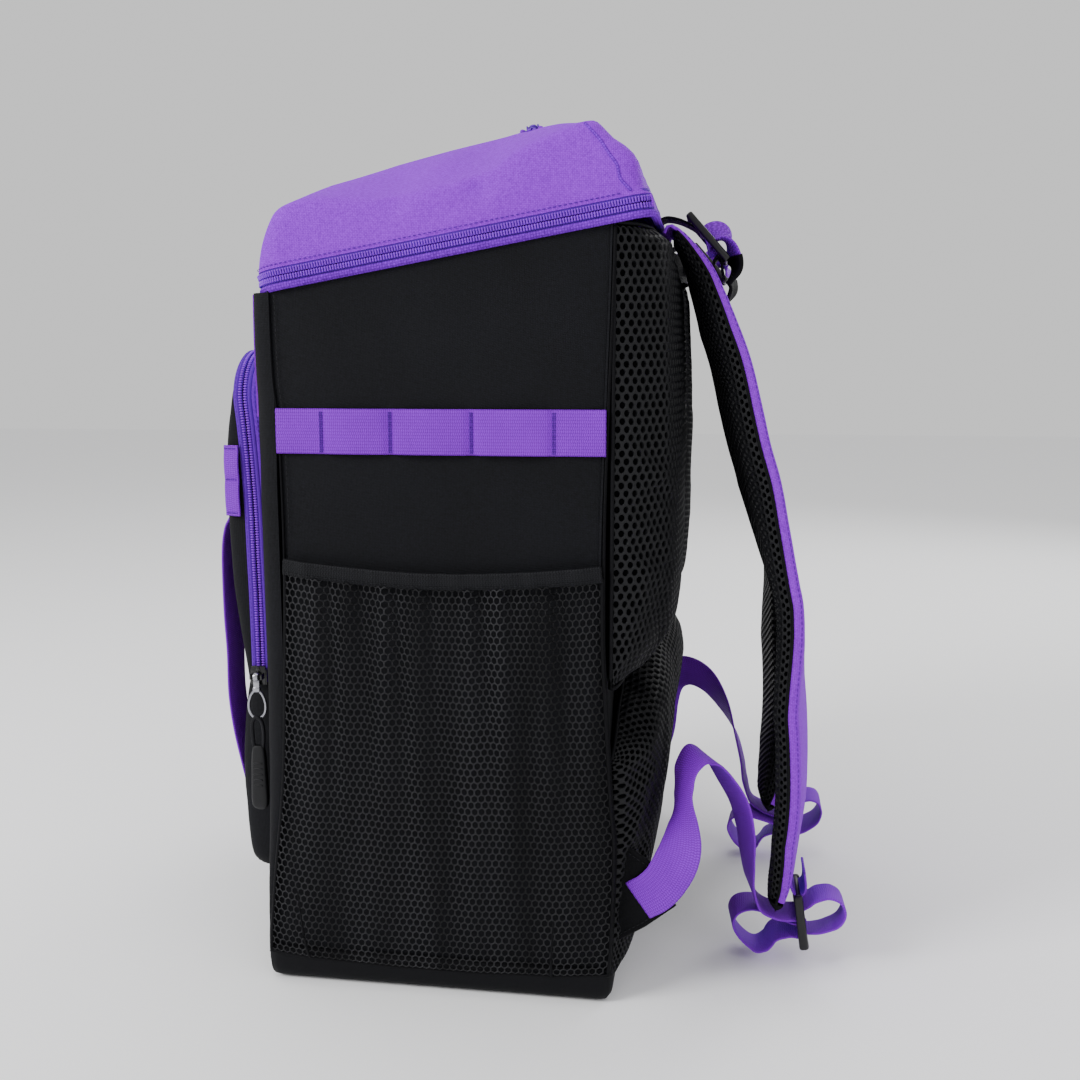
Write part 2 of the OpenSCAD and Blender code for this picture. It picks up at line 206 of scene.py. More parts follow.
def ribbed(name, col, rib=1.15, warp=1.7, contrast=0.6, bump=0.9, rough=0.62, sheen=0.0, spec=0.16):
    """Woven webbing: weft ribs across the strip, broken by staggered warp columns."""
    m = M(name)
    u, v = m.uv()
    col_id = m.math("FLOOR", m.math("DIVIDE", v, warp * 0.001))
    stag = m.math("MULTIPLY", m.math("MODULO", m.math("ABSOLUTE", col_id), 2.0), pi * 0.5)
    ph_u = m.math("ADD", m.math("MULTIPLY", u, 2 * pi / (rib * 0.001)), stag)
    in_col = m.math("ABSOLUTE", m.math("SINE", m.math("MULTIPLY", v, pi / (warp * 0.001))))
    chev = m.math("MULTIPLY", in_col, 1.3)
    r1 = m.math("MULTIPLY_ADD", m.math("SINE", m.math("ADD", ph_u, chev)), 0.5, 0.5)
    h = m.math("ADD", m.math("MULTIPLY", r1, 0.62), m.math("MULTIPLY", m.math("POWER", in_col, 0.5), 0.38))
    fz = m.noise(1500.0, 2.0)
    big_n = m.noise(30.0, 2.0)
    f = m.math("ADD", m.math("MULTIPLY", h, 0.8), m.math("MULTIPLY", fz, 0.25))
    f = m.math("ADD", f, m.math("MULTIPLY", m.math("SUBTRACT", big_n, 0.5), 0.35), clamp=True)
    c = m.mix(f, shade(col, 1 - contrast), shade(col, 1 + contrast * 0.6))
    n = m.bump(m.math("ADD", h, m.math("MULTIPLY", fz, 0.3)), bump, 0.0004)
    return m.done(c, m.math("MULTIPLY_ADD", h, -0.15, rough + 0.1), n, spec=spec, sheen=sheen)


def yarn(name, col, scale=2600.0, contrast=0.5, bump=0.6, rough=0.6, spec=0.4):
    """Knitted or twisted yarn, cord and binding: fine fibre noise."""
    m = M(name)
    n1, n2 = m.noise(scale, 3.0, 0.65), m.noise(60.0, 2.0)
    f = m.math("ADD", m.math("MULTIPLY", n1, 0.8), m.math("MULTIPLY", n2, 0.25), clamp=True)
    c = m.mix(f, shade(col, 1 - contrast), shade(col, 1 + contrast))
    return m.done(c, m.math("MULTIPLY_ADD", n1, 0.2, rough - 0.1), m.bump(n1, bump, 0.0002), spec=spec)


def moulded(name, col, rough=0.4, metal=0.0, bump=0.12, coat=0.0, scale=420.0, spec=0.35):
    m = M(name)
    n1, n2 = m.noise(scale, 4.0, 0.6), m.noise(35.0, 3.0)
    c = m.mix(n2, shade(col, 0.8), shade(col, 1.25))
    r = m.math("MULTIPLY_ADD", n2, 0.22, rough - 0.1)
    return m.done(c, r, m.bump(n1, bump, 0.0002), metal=metal, coat=coat, spec=spec)


def stiff_sheet(name, col):
    m = M(name)
    n1 = m.noise(700.0, 3.0)
    c = m.mix(n1, shade(col, 0.9), shade(col, 1.05))
    return m.done(c, m.math("MULTIPLY_ADD", n1, 0.2, 0.5), m.bump(n1, 0.2, 0.0003))


PUR = (0.245, 0.0062, 0.64)
BLK = (0.0040, 0.0042, 0.0060)
mat_black = weave("m_black", BLK, pitch=0.9, contrast=0.7, bump=0.5, rough=0.74, spec=0.13, big=0.22)
mat_black2 = weave("m_black_dense", (0.003, 0.003, 0.004), pitch=0.8, contrast=0.6, rough=0.7, spec=0.09)
mat_boot = weave("m_boot", (0.0028, 0.0029, 0.0042), pitch=0.7, contrast=0.5, bump=0.3, rough=0.6, spec=0.12)
mat_purple = weave("m_purple", PUR, pitch=0.95, contrast=0.36, bump=0.5, rough=0.72, spec=0.12, big=0.08)
mat_purple_d = weave("m_purple_gusset", (0.12, 0.004, 0.42), pitch=0.9, contrast=0.45, bump=0.6, rough=0.72)
mat_patch = weave("m_patch", (0.27, 0.018, 0.74), pitch=0.7, contrast=0.12, bump=0.25, rough=0.6)
mat_web = ribbed("m_webbing", (0.19, 0.0032, 0.52))
mat_web_b = ribbed("m_webbing_black", (0.004, 0.004, 0.005), contrast=0.7, spec=0.12)
mat_elastic = ribbed("m_elastic", (0.005, 0.0052, 0.0068), rib=1.5, warp=1.1, contrast=0.8, spec=0.14)
mat_tape = ribbed("m_zip_tape", (0.085, 0.003, 0.33), rib=0.9, warp=1.1, contrast=0.5, bump=0.5)
mat_coil = moulded("m_coil", (0.19, 0.008, 0.58), rough=0.36, bump=0.05, spec=0.35)
mat_thread_p = yarn("m_thread_purple", (0.22, 0.02, 0.68), spec=0.2)
mat_thread_d = yarn("m_thread_dark_purple", (0.06, 0.002, 0.22), spec=0.15)
mat_thread_b = yarn("m_thread_black", (0.007, 0.007, 0.009), spec=0.15)
mat_bind = yarn("m_binding_black", (0.003, 0.003, 0.004), scale=1800.0, rough=0.66, spec=0.1)
mat_pipe_p = weave("m_piping_purple", (0.165, 0.005, 0.52), pitch=1.5, contrast=0.55, bump=0.9)


def net_mat_painted_folds():
    """Knitted net: fibre noise, and long vertical streaks of painted shade and painted light standing for the folds of
    the gathered net.
    """
    m = M("m_net_painted_folds")
    # painted shade and light: noise stretched across the net gives dark and pale vertical streaks for its folds and
    # gathers
    vm = m.new("ShaderNodeVectorMath", operation="MULTIPLY")
    m.put(vm.inputs[0], m.obj())
    vm.inputs[1].default_value = (1.0, 42.0, 3.2)
    st = m.noise(1.0, 3.0, 0.6, vm.outputs[0])
    fine = m.noise(2800.0, 3.0, 0.6)
    f = m.math("MULTIPLY_ADD", m.math("SUBTRACT", st, 0.5), 3.6, 0.42)
    f = m.math("ADD", f, m.math("MULTIPLY", m.math("SUBTRACT", fine, 0.5), 0.5), clamp=True)
    c = m.mix(f, (0.0022, 0.0022, 0.003), (0.024, 0.024, 0.027))
    return m.done(c, m.math("MULTIPLY_ADD", f, -0.15, 0.55), m.bump(fine, 0.5, 0.0002), spec=0.25)


mat_net_painted_folds = net_mat_painted_folds()
mat_spacer = yarn("m_spacer", (0.0052, 0.0053, 0.0066), scale=2600.0, contrast=0.55, rough=0.5, spec=0.2)
# the pads' foam core: partly its own black, partly painted shade, darker and less glossy than any black cloth here so
# the mesh's holes read as deep
mat_core_shade = yarn("m_core", (0.001, 0.001, 0.0014), scale=900.0, rough=0.9, spec=0.03)
mat_plastic = moulded("m_plastic", (0.0035, 0.0035, 0.0042), rough=0.36)
mat_grip = moulded("m_grip", (0.0038, 0.004, 0.005), rough=0.5, bump=0.3, scale=900.0, spec=0.25)
mat_blackmetal = moulded("m_black_metal", (0.004, 0.004, 0.005), rough=0.26, coat=0.25)
mat_zipmetal = moulded("m_zip_metal", (0.085, 0.004, 0.32), rough=0.3, coat=0.2)
mat_steel = moulded("m_steel", (0.30, 0.30, 0.33), rough=0.26, metal=1.0, bump=0.05)
mat_board = stiff_sheet("m_board", (0.72, 0.72, 0.73))


# ------------------------------------------------------------------ mesh tools (millimetres in, metres out)
def mk(name, V, F, body, slot, mat, reps=(), uv=None, sharp=38.0, smooth=True):
    V = np.asarray(V, float) * 0.001
    V[:, 2] = np.maximum(V[:, 2], 0.0001)
    F = [list(map(int, f)) for f in F]
    me = bpy.data.meshes.new(name)
    me.from_pydata(V.tolist(), [], F)
    if isinstance(uv, str):
        lay = me.uv_layers.new(name="UVMap")
        nrm = np.empty(len(me.polygons) * 3)
        me.polygons.foreach_get("normal", nrm)
        ax = np.abs(nrm.reshape(-1, 3)).argmax(1)
        tot = np.empty(len(me.polygons), np.int32)
        me.polygons.foreach_get("loop_total", tot)
        ax = np.repeat(ax, tot)
        li = np.empty(len(me.loops), np.int32)
        me.loops.foreach_get("vertex_index", li)
        c = V[li]
        pick = np.array([(1, 2), (0, 2), (0, 1)])[ax]
        lay.data.foreach_set("uv", np.take_along_axis(c, pick, 1).astype(np.float32).ravel())
    elif uv is not None:
        lay = me.uv_layers.new(name="UVMap")
        li = np.empty(len(me.loops), np.int32)
        me.loops.foreach_get("vertex_index", li)
        lay.data.foreach_set("uv", (np.asarray(uv, float) * 0.001)[li].astype(np.float32).ravel())
    me.polygons.foreach_set("use_smooth", [smooth] * len(me.polygons))
    if smooth and sharp:
        me.set_sharp_from_angle(angle=math.radians(sharp))
    me.update()
    ob = bpy.data.objects.new(name, me)
    bpy.context.scene.collection.objects.link(ob)
    me.materials.append(mat)
    if isinstance(body, tuple):
        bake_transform(ob)
    else:
        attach(ob, body)
    if reps:
        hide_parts(*reps)
    return ob


def sided(x, side):
    """Node and body names ending in _ take the side's name; a blend's points are mirrored."""
    if isinstance(x, tuple):
        m = 1 if side == "right" else -1
        return (sided(x[0], side), sided(x[1], side), (x[2][0] * m, *x[2][1:]), (x[3][0] * m, *x[3][1:]))
    return x + side if x.endswith("_") else x


def mk2(name, V, F, body, slot, mat, reps=(), uv=None, **kw):
    """The piece on the wearer's right, and its mirror image on the left."""
    out = []
    for side, sx in (("right", 1), ("left", -1)):
        W = np.array(V, float).copy()
        W[:, 0] *= sx
        G = F if sx == 1 else [f[::-1] for f in F]
        out.append(mk(f"{name}_{side}", W, G, sided(body, side), slot, mat, [sided(r, side) for r in reps], uv, **kw))
    return out


def gridF(nu, nv, off=0, flip=False, wrap=False):
    idx = off + np.arange(nu * nv).reshape(nu, nv)
    a, b = (idx, np.roll(idx, -1, 0)) if wrap else (idx[:-1], idx[1:])
    q = np.stack([a[:, :-1], b[:, :-1], b[:, 1:], a[:, 1:]], -1).reshape(-1, 4)
    return (q[:, ::-1] if flip else q).tolist()


def normals(P, wrap=False):
    if wrap:
        E = np.concatenate([P[-1:], P, P[:1]], 0)
        du = (E[2:] - E[:-2]) / 2
    else:
        du = np.gradient(P, axis=0)
    dv = np.gradient(P, axis=1)
    n = np.cross(du, dv)
    return n / np.maximum(np.linalg.norm(n, axis=-1, keepdims=True), 1e-9)


def arc_uv(P):
    """Real lengths along both directions of a grid, from its middle lines."""
    du = np.linalg.norm(np.diff(P, axis=0), axis=-1).mean(1)
    dv = np.linalg.norm(np.diff(P, axis=1), axis=-1).mean(0)
    U, W = np.concatenate([[0], np.cumsum(du)]), np.concatenate([[0], np.cumsum(dv)])
    uu, vv = np.meshgrid(U, W, indexing="ij")
    return np.stack([uu, vv], -1).reshape(-1, 2), (U[-1], W[-1])


def outward(P, n, out):
    """True where the grid's normals have to be turned to face the direction out, or away from the point out[0]."""
    if len(out) == 1:
        return float(((P - np.array(out[0])) * n).sum()) < 0
    return float((n.reshape(-1, 3) @ np.asarray(out, float)).sum()) < 0


def shell(P, t, out=(0, 0, 1), wrap=False):
    """A closed sheet of thickness t, P its outer face, turned to out. Returns V, F, uv, (width, length)."""
    nu, nv = P.shape[:2]
    n = normals(P, wrap)
    flip = outward(P, n, out)
    n = -n if flip else n
    Q = P - n * t
    uv, size = arc_uv(P)
    V = np.concatenate([P.reshape(-1, 3), Q.reshape(-1, 3)])
    k = nu * nv
    F = gridF(nu, nv, 0, flip, wrap) + gridF(nu, nv, k, not flip, wrap)
    idx = np.arange(k).reshape(nu, nv)
    if wrap:
        loops = [list(idx[:, 0]) + [idx[0, 0]], list(idx[::-1, -1]) + [idx[-1, -1]]]
    else:
        loops = [list(idx[:, 0]) + list(idx[-1, 1:]) + list(idx[-2::-1, -1]) + list(idx[0, -2::-1])]
    for L in loops:
        for a, b in zip(L[:-1], L[1:]):
            f = [b, a, a + k, b + k]
            F.append(f[::-1] if flip else f)
    return V, F, np.concatenate([uv, uv]), size


def catmull(p, n):
    """n points, evenly spaced, on a smooth curve through p."""
    p = np.asarray(p, float)
    e = np.concatenate([[2 * p[0] - p[1]], p, [2 * p[-1] - p[-2]]])
    out = []
    for i in range(len(p) - 1):
        a, b, c, d = e[i], e[i + 1], e[i + 2], e[i + 3]
        t = np.linspace(0, 1, 24, endpoint=False)[:, None]
        out.append(0.5 * ((2 * b) + (c - a) * t + (2 * a - 5 * b + 4 * c - d) * t**2 + (3 * b - a - 3 * c + d) * t**3))
    q = np.concatenate(out + [p[-1:]])
    s = np.concatenate([[0], np.cumsum(np.linalg.norm(np.diff(q, axis=0), axis=1))])
    x = np.linspace(0, s[-1], n)
    return np.stack([np.interp(x, s, q[:, k]) for k in range(q.shape[1])], 1)


def curve(xs, ys):
    """A smooth function through the points, for arrays."""
    q = catmull(np.stack([xs, ys], 1), 40 * len(xs))
    o = np.argsort(q[:, 0])
    return lambda x: np.interp(x, q[o, 0], q[o, 1])


def unitv(a):
    return a / np.maximum(np.linalg.norm(a, axis=-1, keepdims=True), 1e-9)


def ribbon(path, wdir, width, thick, n=80, crown=0.0, smooth_path=True):
    """Flat webbing with soft selvedges. Returns V, F, uv."""
    path, wdir = np.asarray(path, float), np.asarray(wdir, float)
    if wdir.ndim == 1:
        wdir = np.repeat(wdir[None], len(path), 0)
    if smooth_path:
        both = catmull(np.concatenate([path, wdir * 0.001], 1), n)
        p, w = both[:, :3], both[:, 3:]
    else:
        p, w, n = path, wdir, len(path)
    t = unitv(np.gradient(p, axis=0))
    w = unitv(w - (w * t).sum(1, keepdims=True) * t)
    m = np.cross(t, w)
    prof = [(-0.5, 0), (-0.485, 0.36), (-0.45, 0.5), (-0.25, 0.5), (0, 0.5), (0.25, 0.5), (0.45, 0.5), (0.485, 0.36), (0.5, 0), (0.485, -0.36), (0.45, -0.5), (0.25, -0.5), (0, -0.5), (-0.25, -0.5), (-0.45, -0.5), (-0.485, -0.36)]
    wd = np.full(n, width) if np.isscalar(width) else np.asarray(width)
    A = np.array([a for a, _ in prof])
    B = np.array([b for _, b in prof])
    V = p[:, None] + w[:, None] * (A[None, :, None] * wd[:, None, None]) + m[:, None] * (B * thick + crown * (1 - (2 * A) ** 2))[None, :, None]
    s = np.concatenate([[0], np.cumsum(np.linalg.norm(np.diff(p, axis=0), axis=1))])
    uv = np.stack([np.repeat(s[:, None], len(prof), 1), A[None] * wd[:, None]], -1).reshape(-1, 2)
    k = len(prof)
    idx = np.arange(n * k).reshape(n, k)
    F = []
    for j in range(k):
        j2 = (j + 1) % k
        for i in range(n - 1):
            F.append([idx[i, j], idx[i, j2], idx[i + 1, j2], idx[i + 1, j]])
    F.append(list(idx[0, ::-1]))
    F.append(list(idx[-1]))
    return V.reshape(-1, 3), F, uv, s[-1]


def tube(path, r, k=8, n=None, closed=False, up=(0, 0, 1), squash=1.0):
    p = np.asarray(path, float)
    if n and not closed:
        p = catmull(p, n)
    n = len(p)
    if closed:
        t = unitv(np.roll(p, -1, 0) - np.roll(p, 1, 0))
    else:
        t = unitv(np.gradient(p, axis=0))
    up = np.asarray(up, float)
    a = np.cross(t, up)
    bad = np.linalg.norm(a, axis=1) < 0.15
    a[bad] = np.cross(t[bad], np.array([1.0, 0.1, 0]))
    a = unitv(a)
    b = np.cross(a, t)
    ang = np.arange(k) * 2 * pi / k
    rr = np.full(n, r) if np.isscalar(r) else np.asarray(r)
    V = p[:, None] + (a[:, None] * np.cos(ang)[None, :, None] + b[:, None] * np.sin(ang)[None, :, None] * squash) * rr[:, None, None]
    s = np.concatenate([[0], np.cumsum(np.linalg.norm(np.diff(p, axis=0), axis=1))])
    uv = np.stack([np.repeat(s[:, None], k, 1), np.repeat((ang * rr.mean())[None], n, 0)], -1).reshape(-1, 2)
    idx = np.arange(n * k).reshape(n, k)
    F = []
    for i in range(n if closed else n - 1):
        i2 = (i + 1) % n
        for j in range(k):
            j2 = (j + 1) % k
            F.append([idx[i, j], idx[i2, j], idx[i2, j2], idx[i, j2]])
    if not closed:
        F += [list(idx[0]), list(idx[-1, ::-1])]
    return V.reshape(-1, 3), [f[::-1] for f in F], uv


def join(*parts):
    V, F, U, o = [], [], [], 0
    for p in parts:
        v, f = np.asarray(p[0], float), p[1]
        u = p[2] if len(p) > 2 and p[2] is not None else v[:, :2]
        V.append(v)
        U.append(u)
        F += [[i + o for i in g] for g in f]
        o += len(v)
    return np.concatenate(V), F, np.concatenate(U)


def capsule(k=6):
    """Unit capsule along X: half length 0.5, radius 0.5, for stitches and teeth."""
    ang = np.arange(k) * 2 * pi / k
    rings = [(-0.42, 0.30), (-0.25, 0.5), (0.25, 0.5), (0.42, 0.30)]
    V = [(-0.5, 0, 0)] + [(x, r * math.cos(a), r * math.sin(a)) for x, r in rings for a in ang] + [(0.5, 0, 0)]
    F = []
    for j in range(k):
        j2 = (j + 1) % k
        F.append([0, 1 + j2, 1 + j])
        for i in range(3):
            o = 1 + i * k
            F.append([o + j, o + j2, o + k + j2, o + k + j])
        F.append([1 + 3 * k + j, 1 + 3 * k + j2, 1 + 4 * k])
    return np.array(V, float), [f for f in F]


CAP = capsule(6)


def stamp(P, A, B, C, size, tmpl=CAP):
    """Copies of the template at P, its X, Y, Z along A, B, C, with sizes (a, b, c)."""
    tv, tf = tmpl
    P, A, B, C = (np.asarray(x, float) for x in (P, A, B, C))
    V = P[:, None] + A[:, None] * (tv[None, :, :1] * size[0]) + B[:, None] * (tv[None, :, 1:2] * size[1]) + C[:, None] * (tv[None, :, 2:] * size[2])
    k = len(tv)
    tfa = [np.array(f) for f in tf]
    F = []
    for i in range(len(P)):
        F += [(f + i * k).tolist() for f in tfa]
    V = V.reshape(-1, 3)
    return V, F, V[:, 1:3]


def along(path, nrm, pitch, start=0.0, closed=False, phase=0.0):
    """Points each pitch along a path, with tangent, sideways and normal directions."""
    path, nrm = np.asarray(path, float), np.asarray(nrm, float)
    if nrm.ndim == 1:
        nrm = np.repeat(nrm[None], len(path), 0)
    s = np.concatenate([[0], np.cumsum(np.linalg.norm(np.diff(path, axis=0), axis=1))])
    x = np.arange(start + phase * pitch, s[-1] - start, pitch)
    P = np.stack([np.interp(x, s, path[:, k]) for k in range(3)], 1)
    N = np.stack([np.interp(x, s, nrm[:, k]) for k in range(3)], 1)
    e = 0.6
    P1 = np.stack([np.interp(np.clip(x + e, 0, s[-1]), s, path[:, k]) for k in range(3)], 1)
    P0 = np.stack([np.interp(np.clip(x - e, 0, s[-1]), s, path[:, k]) for k in range(3)], 1)
    T = unitv(P1 - P0)
    N = unitv(N - (N * T).sum(1, keepdims=True) * T)
    return P, T, np.cross(N, T), N


def stitches(path, nrm, pitch=2.9, length=2.2, w=0.55, lift=0.1):
    P, T, S, N = along(path, nrm, pitch, 0.5)
    return stamp(P + N * lift, T, S, N, (length, w, w * 0.8))


def teeth(path, nrm, side, row=1.65, pitch=1.45, length=2.7, w=1.05, h=1.5, phase=0.0, lift=0.5):
    P, T, S, N = along(path, nrm, pitch, 1.0, phase=phase)
    return stamp(P + S * row * side + N * lift, S, T, N, (length, w, h))


def smooth_noise(x, y, seed=0, scale=1.0):
    r = np.random.default_rng(seed)
    out = 0
    for k in range(7):
        a, b, c = r.uniform(-1, 1, 3)
        f = (0.6 + 0.5 * k) / scale
        out = out + np.sin(f * (a * x + b * y) * 2 * pi + c * 7) / (1 + 0.6 * k)
    return out / 3.2


# ------------------------------------------------------------------ nets in real geometry
def on_surface(S, a, b, W, H):
    u, v = np.clip(a / W, 0, 1), np.clip(b / H, 0, 1)
    e = 0.004
    P = S(u, v)
    du = S(np.clip(u + e, 0, 1), v) - S(np.clip(u - e, 0, 1), v)
    dv = S(u, np.clip(v + e, 0, 1)) - S(u, np.clip(v - e, 0, 1))
    return P, unitv(np.cross(du, dv))


def hex_centres(W, H, p, margin=0.0):
    dy = p * math.sqrt(3) / 2
    pts = []
    for j in range(int(H / dy) + 2):
        for i in range(int(W / p) + 2):
            pts.append((i * p + (j % 2) * p / 2, j * dy))
    c = np.array(pts)
    k = (c[:, 0] > margin) & (c[:, 0] < W - margin) & (c[:, 1] > margin) & (c[:, 1] < H - margin)
    return c[k]


def hexnet(S, W, H, p=4.2, sw=1.0, st=0.7, mask=None, flip=1, stretch=1.25):
    """Knitted net: strands along the edges of a hexagon grid lying on S."""
    c = hex_centres(W, H / stretch, p, p * 0.3)
    r = p / math.sqrt(3)
    ang = np.radians(30 + 60 * np.arange(7))
    ca, sa = np.cos(ang) * r, np.sin(ang) * r
    E = []
    for k in range(6):
        a = np.stack([c[:, 0] + ca[k], (c[:, 1] + sa[k]) * stretch], 1)
        b = np.stack([c[:, 0] + ca[k + 1], (c[:, 1] + sa[k + 1]) * stretch], 1)
        E.append(np.concatenate([a, b], 1))
    E = np.concatenate(E)
    key = np.round(np.where((E[:, :1] + E[:, 1:2] * 1e-3) > (E[:, 2:3] + E[:, 3:4] * 1e-3), E[:, [2, 3, 0, 1]], E), 2)
    _, first = np.unique(key, axis=0, return_index=True)
    E = E[np.sort(first)]
    E = np.clip(E, 0, None)
    E[:, [0, 2]] = np.minimum(E[:, [0, 2]], W)
    E[:, [1, 3]] = np.minimum(E[:, [1, 3]], H)
    if mask is not None:
        E = E[mask((E[:, 0] + E[:, 2]) / 2, (E[:, 1] + E[:, 3]) / 2)]
    E = E[np.hypot(E[:, 0] - E[:, 2], E[:, 1] - E[:, 3]) > 0.3]
    P0, N0 = on_surface(S, E[:, 0], E[:, 1], W, H)
    P1, N1 = on_surface(S, E[:, 2], E[:, 3], W, H)
    N0, N1 = N0 * flip, N1 * flip
    T = unitv(P1 - P0)
    P0, P1 = P0 - T * sw * 0.28, P1 + T * sw * 0.28
    Pm, Nm = (P0 + P1) / 2, unitv(N0 + N1)
    V = []
    for P, N, lift, ws in ((P0, N0, 0.0, 1.25), (Pm, Nm, 0.16, 0.8), (P1, N1, 0.0, 1.25)):
        B = unitv(np.cross(N, T))
        V += [P + B * sw / 2 * ws + N * (lift - st * 0.1), P + N * (lift + st / 2), P - B * sw / 2 * ws + N * (lift - st * 0.1), P + N * (lift - st / 2)]
    V = np.stack(V, 1)
    n = len(V)
    q = []
    for s in (0, 4):
        for k in range(4):
            q.append([s + k, s + (k + 1) % 4, s + 4 + (k + 1) % 4, s + 4 + k])
    q += [[3, 2, 1, 0], [8, 9, 10, 11]]
    q = np.array(q)
    F = (q[None] + (np.arange(n) * 12)[:, None, None]).reshape(-1, 4)
    return V.reshape(-1, 3), F.tolist(), None


def spacer(S, W, H, p=4.9, hole=1.72, deep=1.5, mask=None, flip=1, bulge=0.35):
    """Open spacer-mesh face: a sheet with a round, walled hole in each hexagon cell."""
    c = hex_centres(W, H, p, 0.0)
    if mask is not None:
        c = c[mask(c[:, 0], c[:, 1])]
    n = len(c)
    r = p / math.sqrt(3)
    ang = np.radians(30 + 30 * np.arange(12))
    rad = np.where(np.arange(12) % 2 == 0, r, r * math.cos(pi / 6))
    outer = c[:, None] + np.stack([np.cos(ang) * rad, np.sin(ang) * rad], -1)[None]
    outer[..., 0] = np.clip(outer[..., 0], 0, W)
    outer[..., 1] = np.clip(outer[..., 1], 0, H)
    flat = outer.reshape(-1, 2)
    key, inv = np.unique(np.round(flat, 1), axis=0, return_inverse=True)
    inv = np.asarray(inv).reshape(n, 12)
    first = np.zeros(len(key), int)
    first[inv.ravel()] = np.arange(n * 12)
    Po, No = on_surface(S, flat[first, 0], flat[first, 1], W, H)
    VO = Po + No * flip * 0.0

    def ring(rr, h):
        d = c[:, None] + np.stack([np.cos(ang) * rr * 0.9, np.sin(ang) * rr * 1.08], -1)[None]
        P, N = on_surface(S, np.clip(d[..., 0].ravel(), 0, W), np.clip(d[..., 1].ravel(), 0, H), W, H)
        return P + N * flip * h

    R1, R2, R3 = ring(hole + 0.28, bulge), ring(hole, 0.0), ring(hole * 0.86, -deep)
    V = np.concatenate([VO, R1, R2, R3])
    o1, o2, o3 = len(VO), len(VO) + n * 12, len(VO) + n * 24
    idx = np.arange(n * 12).reshape(n, 12)
    nxt = np.roll(idx, -1, 1)
    inx = np.roll(inv, -1, 1)
    q = np.concatenate([np.stack([inv, inx, o1 + nxt, o1 + idx], -1).reshape(-1, 4), np.stack([o1 + idx, o1 + nxt, o2 + nxt, o2 + idx], -1).reshape(-1, 4), np.stack([o2 + idx, o2 + nxt, o3 + nxt, o3 + idx], -1).reshape(-1, 4)])
    if flip < 0:
        q = q[:, ::-1]
    return V, q.tolist(), None


def grid_fn(G):
    """A surface function from a grid of points."""
    nu, nv = G.shape[:2]

    def S(u, v):
        x, y = np.asarray(u) * (nu - 1), np.asarray(v) * (nv - 1)
        i, j = np.clip(x.astype(int), 0, nu - 2), np.clip(y.astype(int), 0, nv - 2)
        a, b = (x - i)[..., None], (y - j)[..., None]
        return G[i, j] * (1 - a) * (1 - b) + G[i + 1, j] * a * (1 - b) + G[i, j + 1] * (1 - a) * b + G[i + 1, j + 1] * a * b

    return S


def puff(G, pressure=4.0, frames=14, cap=7.0, grow=0.04, smooth=1):
    """Cloth simulation of a sewn cover over its filling: the grid's edge is held, and pressure swells it. G is in mm."""
    nu, nv = G.shape[:2]
    me = bpy.data.meshes.new("sim")
    me.from_pydata((G.reshape(-1, 3) * 0.001).tolist(), [], gridF(nu, nv))
    ob = bpy.data.objects.new("sim", me)
    bpy.context.scene.collection.objects.link(ob)
    vg = ob.vertex_groups.new(name="pin")
    idx = np.arange(nu * nv).reshape(nu, nv)
    edge = np.unique(np.concatenate([idx[0], idx[-1], idx[:, 0], idx[:, -1]]))
    vg.add([int(i) for i in edge], 1.0, "REPLACE")
    md = ob.modifiers.new("c", "CLOTH")
    st = md.settings
    st.vertex_group_mass = "pin"
    st.quality = 5
    st.mass = 0.25
    st.tension_stiffness = st.compression_stiffness = 14
    st.shear_stiffness = 6
    st.bending_stiffness = 0.6
    st.use_pressure = True
    st.uniform_pressure_force = pressure
    st.shrink_min = -grow
    st.effector_weights.gravity = 0.0
    md.collision_settings.use_collision = False
    md.collision_settings.use_self_collision = False
    sc = bpy.context.scene
    md.point_cache.frame_start, md.point_cache.frame_end = 1, frames + 1
    for f in range(1, frames + 1):
        sc.frame_set(f)
    ev = ob.evaluated_get(bpy.context.evaluated_depsgraph_get())
    co = np.empty(nu * nv * 3)
    ev.data.vertices.foreach_get("co", co)
    sc.frame_set(1)
    bpy.data.objects.remove(ob)
    R = co.reshape(nu, nv, 3) * 1000
    D = R - G
    ln = np.linalg.norm(D, axis=-1, keepdims=True)
    D = D * np.minimum(1, cap / np.maximum(ln, 1e-6))
    for _ in range(smooth):
        D[1:-1, 1:-1] = (D[1:-1, 1:-1] * 2 + D[:-2, 1:-1] + D[2:, 1:-1] + D[1:-1, :-2] + D[1:-1, 2:]) / 6
    return G + D


def area_of(V, F):
    V = np.asarray(V, float)
    a = 0.0
    for f in F:
        p = V[f]
        c = np.zeros(3)
        for i in range(1, len(f) - 1):
            c += np.cross(p[i] - p[0], p[i + 1] - p[0])
        a += np.linalg.norm(c) / 2
    return a


def panel(name, P, t, body, slot, mat, reps=(), out=(0, 0, 1), wrap=False, two=False, sharp=50.0):
    """A sewn panel of cloth, one on each side when two is set; its real area is worked out and not used."""
    V, F, uv, (w, l) = shell(P, t, out, wrap)
    if wrap:
        w += np.linalg.norm(P[0] - P[-1], axis=-1).mean()
    obs = mk2(name, V, F, body, slot, mat, reps, uv, sharp=sharp) if two else [mk(name, V, F, body, slot, mat, reps, uv, sharp=sharp)]
    real = area_of(V, F) / 2
    return obs


def rbox(c, s, r=0.6, seg=2):
    """Box with rounded edges: centre, size and edge radius."""
    import bmesh
    bm = bmesh.new()
    bmesh.ops.create_cube(bm, size=1.0)
    for v in bm.verts:
        v.co = Vector((v.co.x * s[0], v.co.y * s[1], v.co.z * s[2]))
    r = min(r, min(s) * 0.49)
    bmesh.ops.bevel(bm, geom=list(bm.edges), offset=r, segments=seg, profile=0.5, affect="EDGES", clamp_overlap=True)
    V = np.array([v.co[:] for v in bm.verts]) + np.array(c, float)
    F = [[v.index for v in f.verts] for f in bm.faces]
    bm.free()
    return V, F


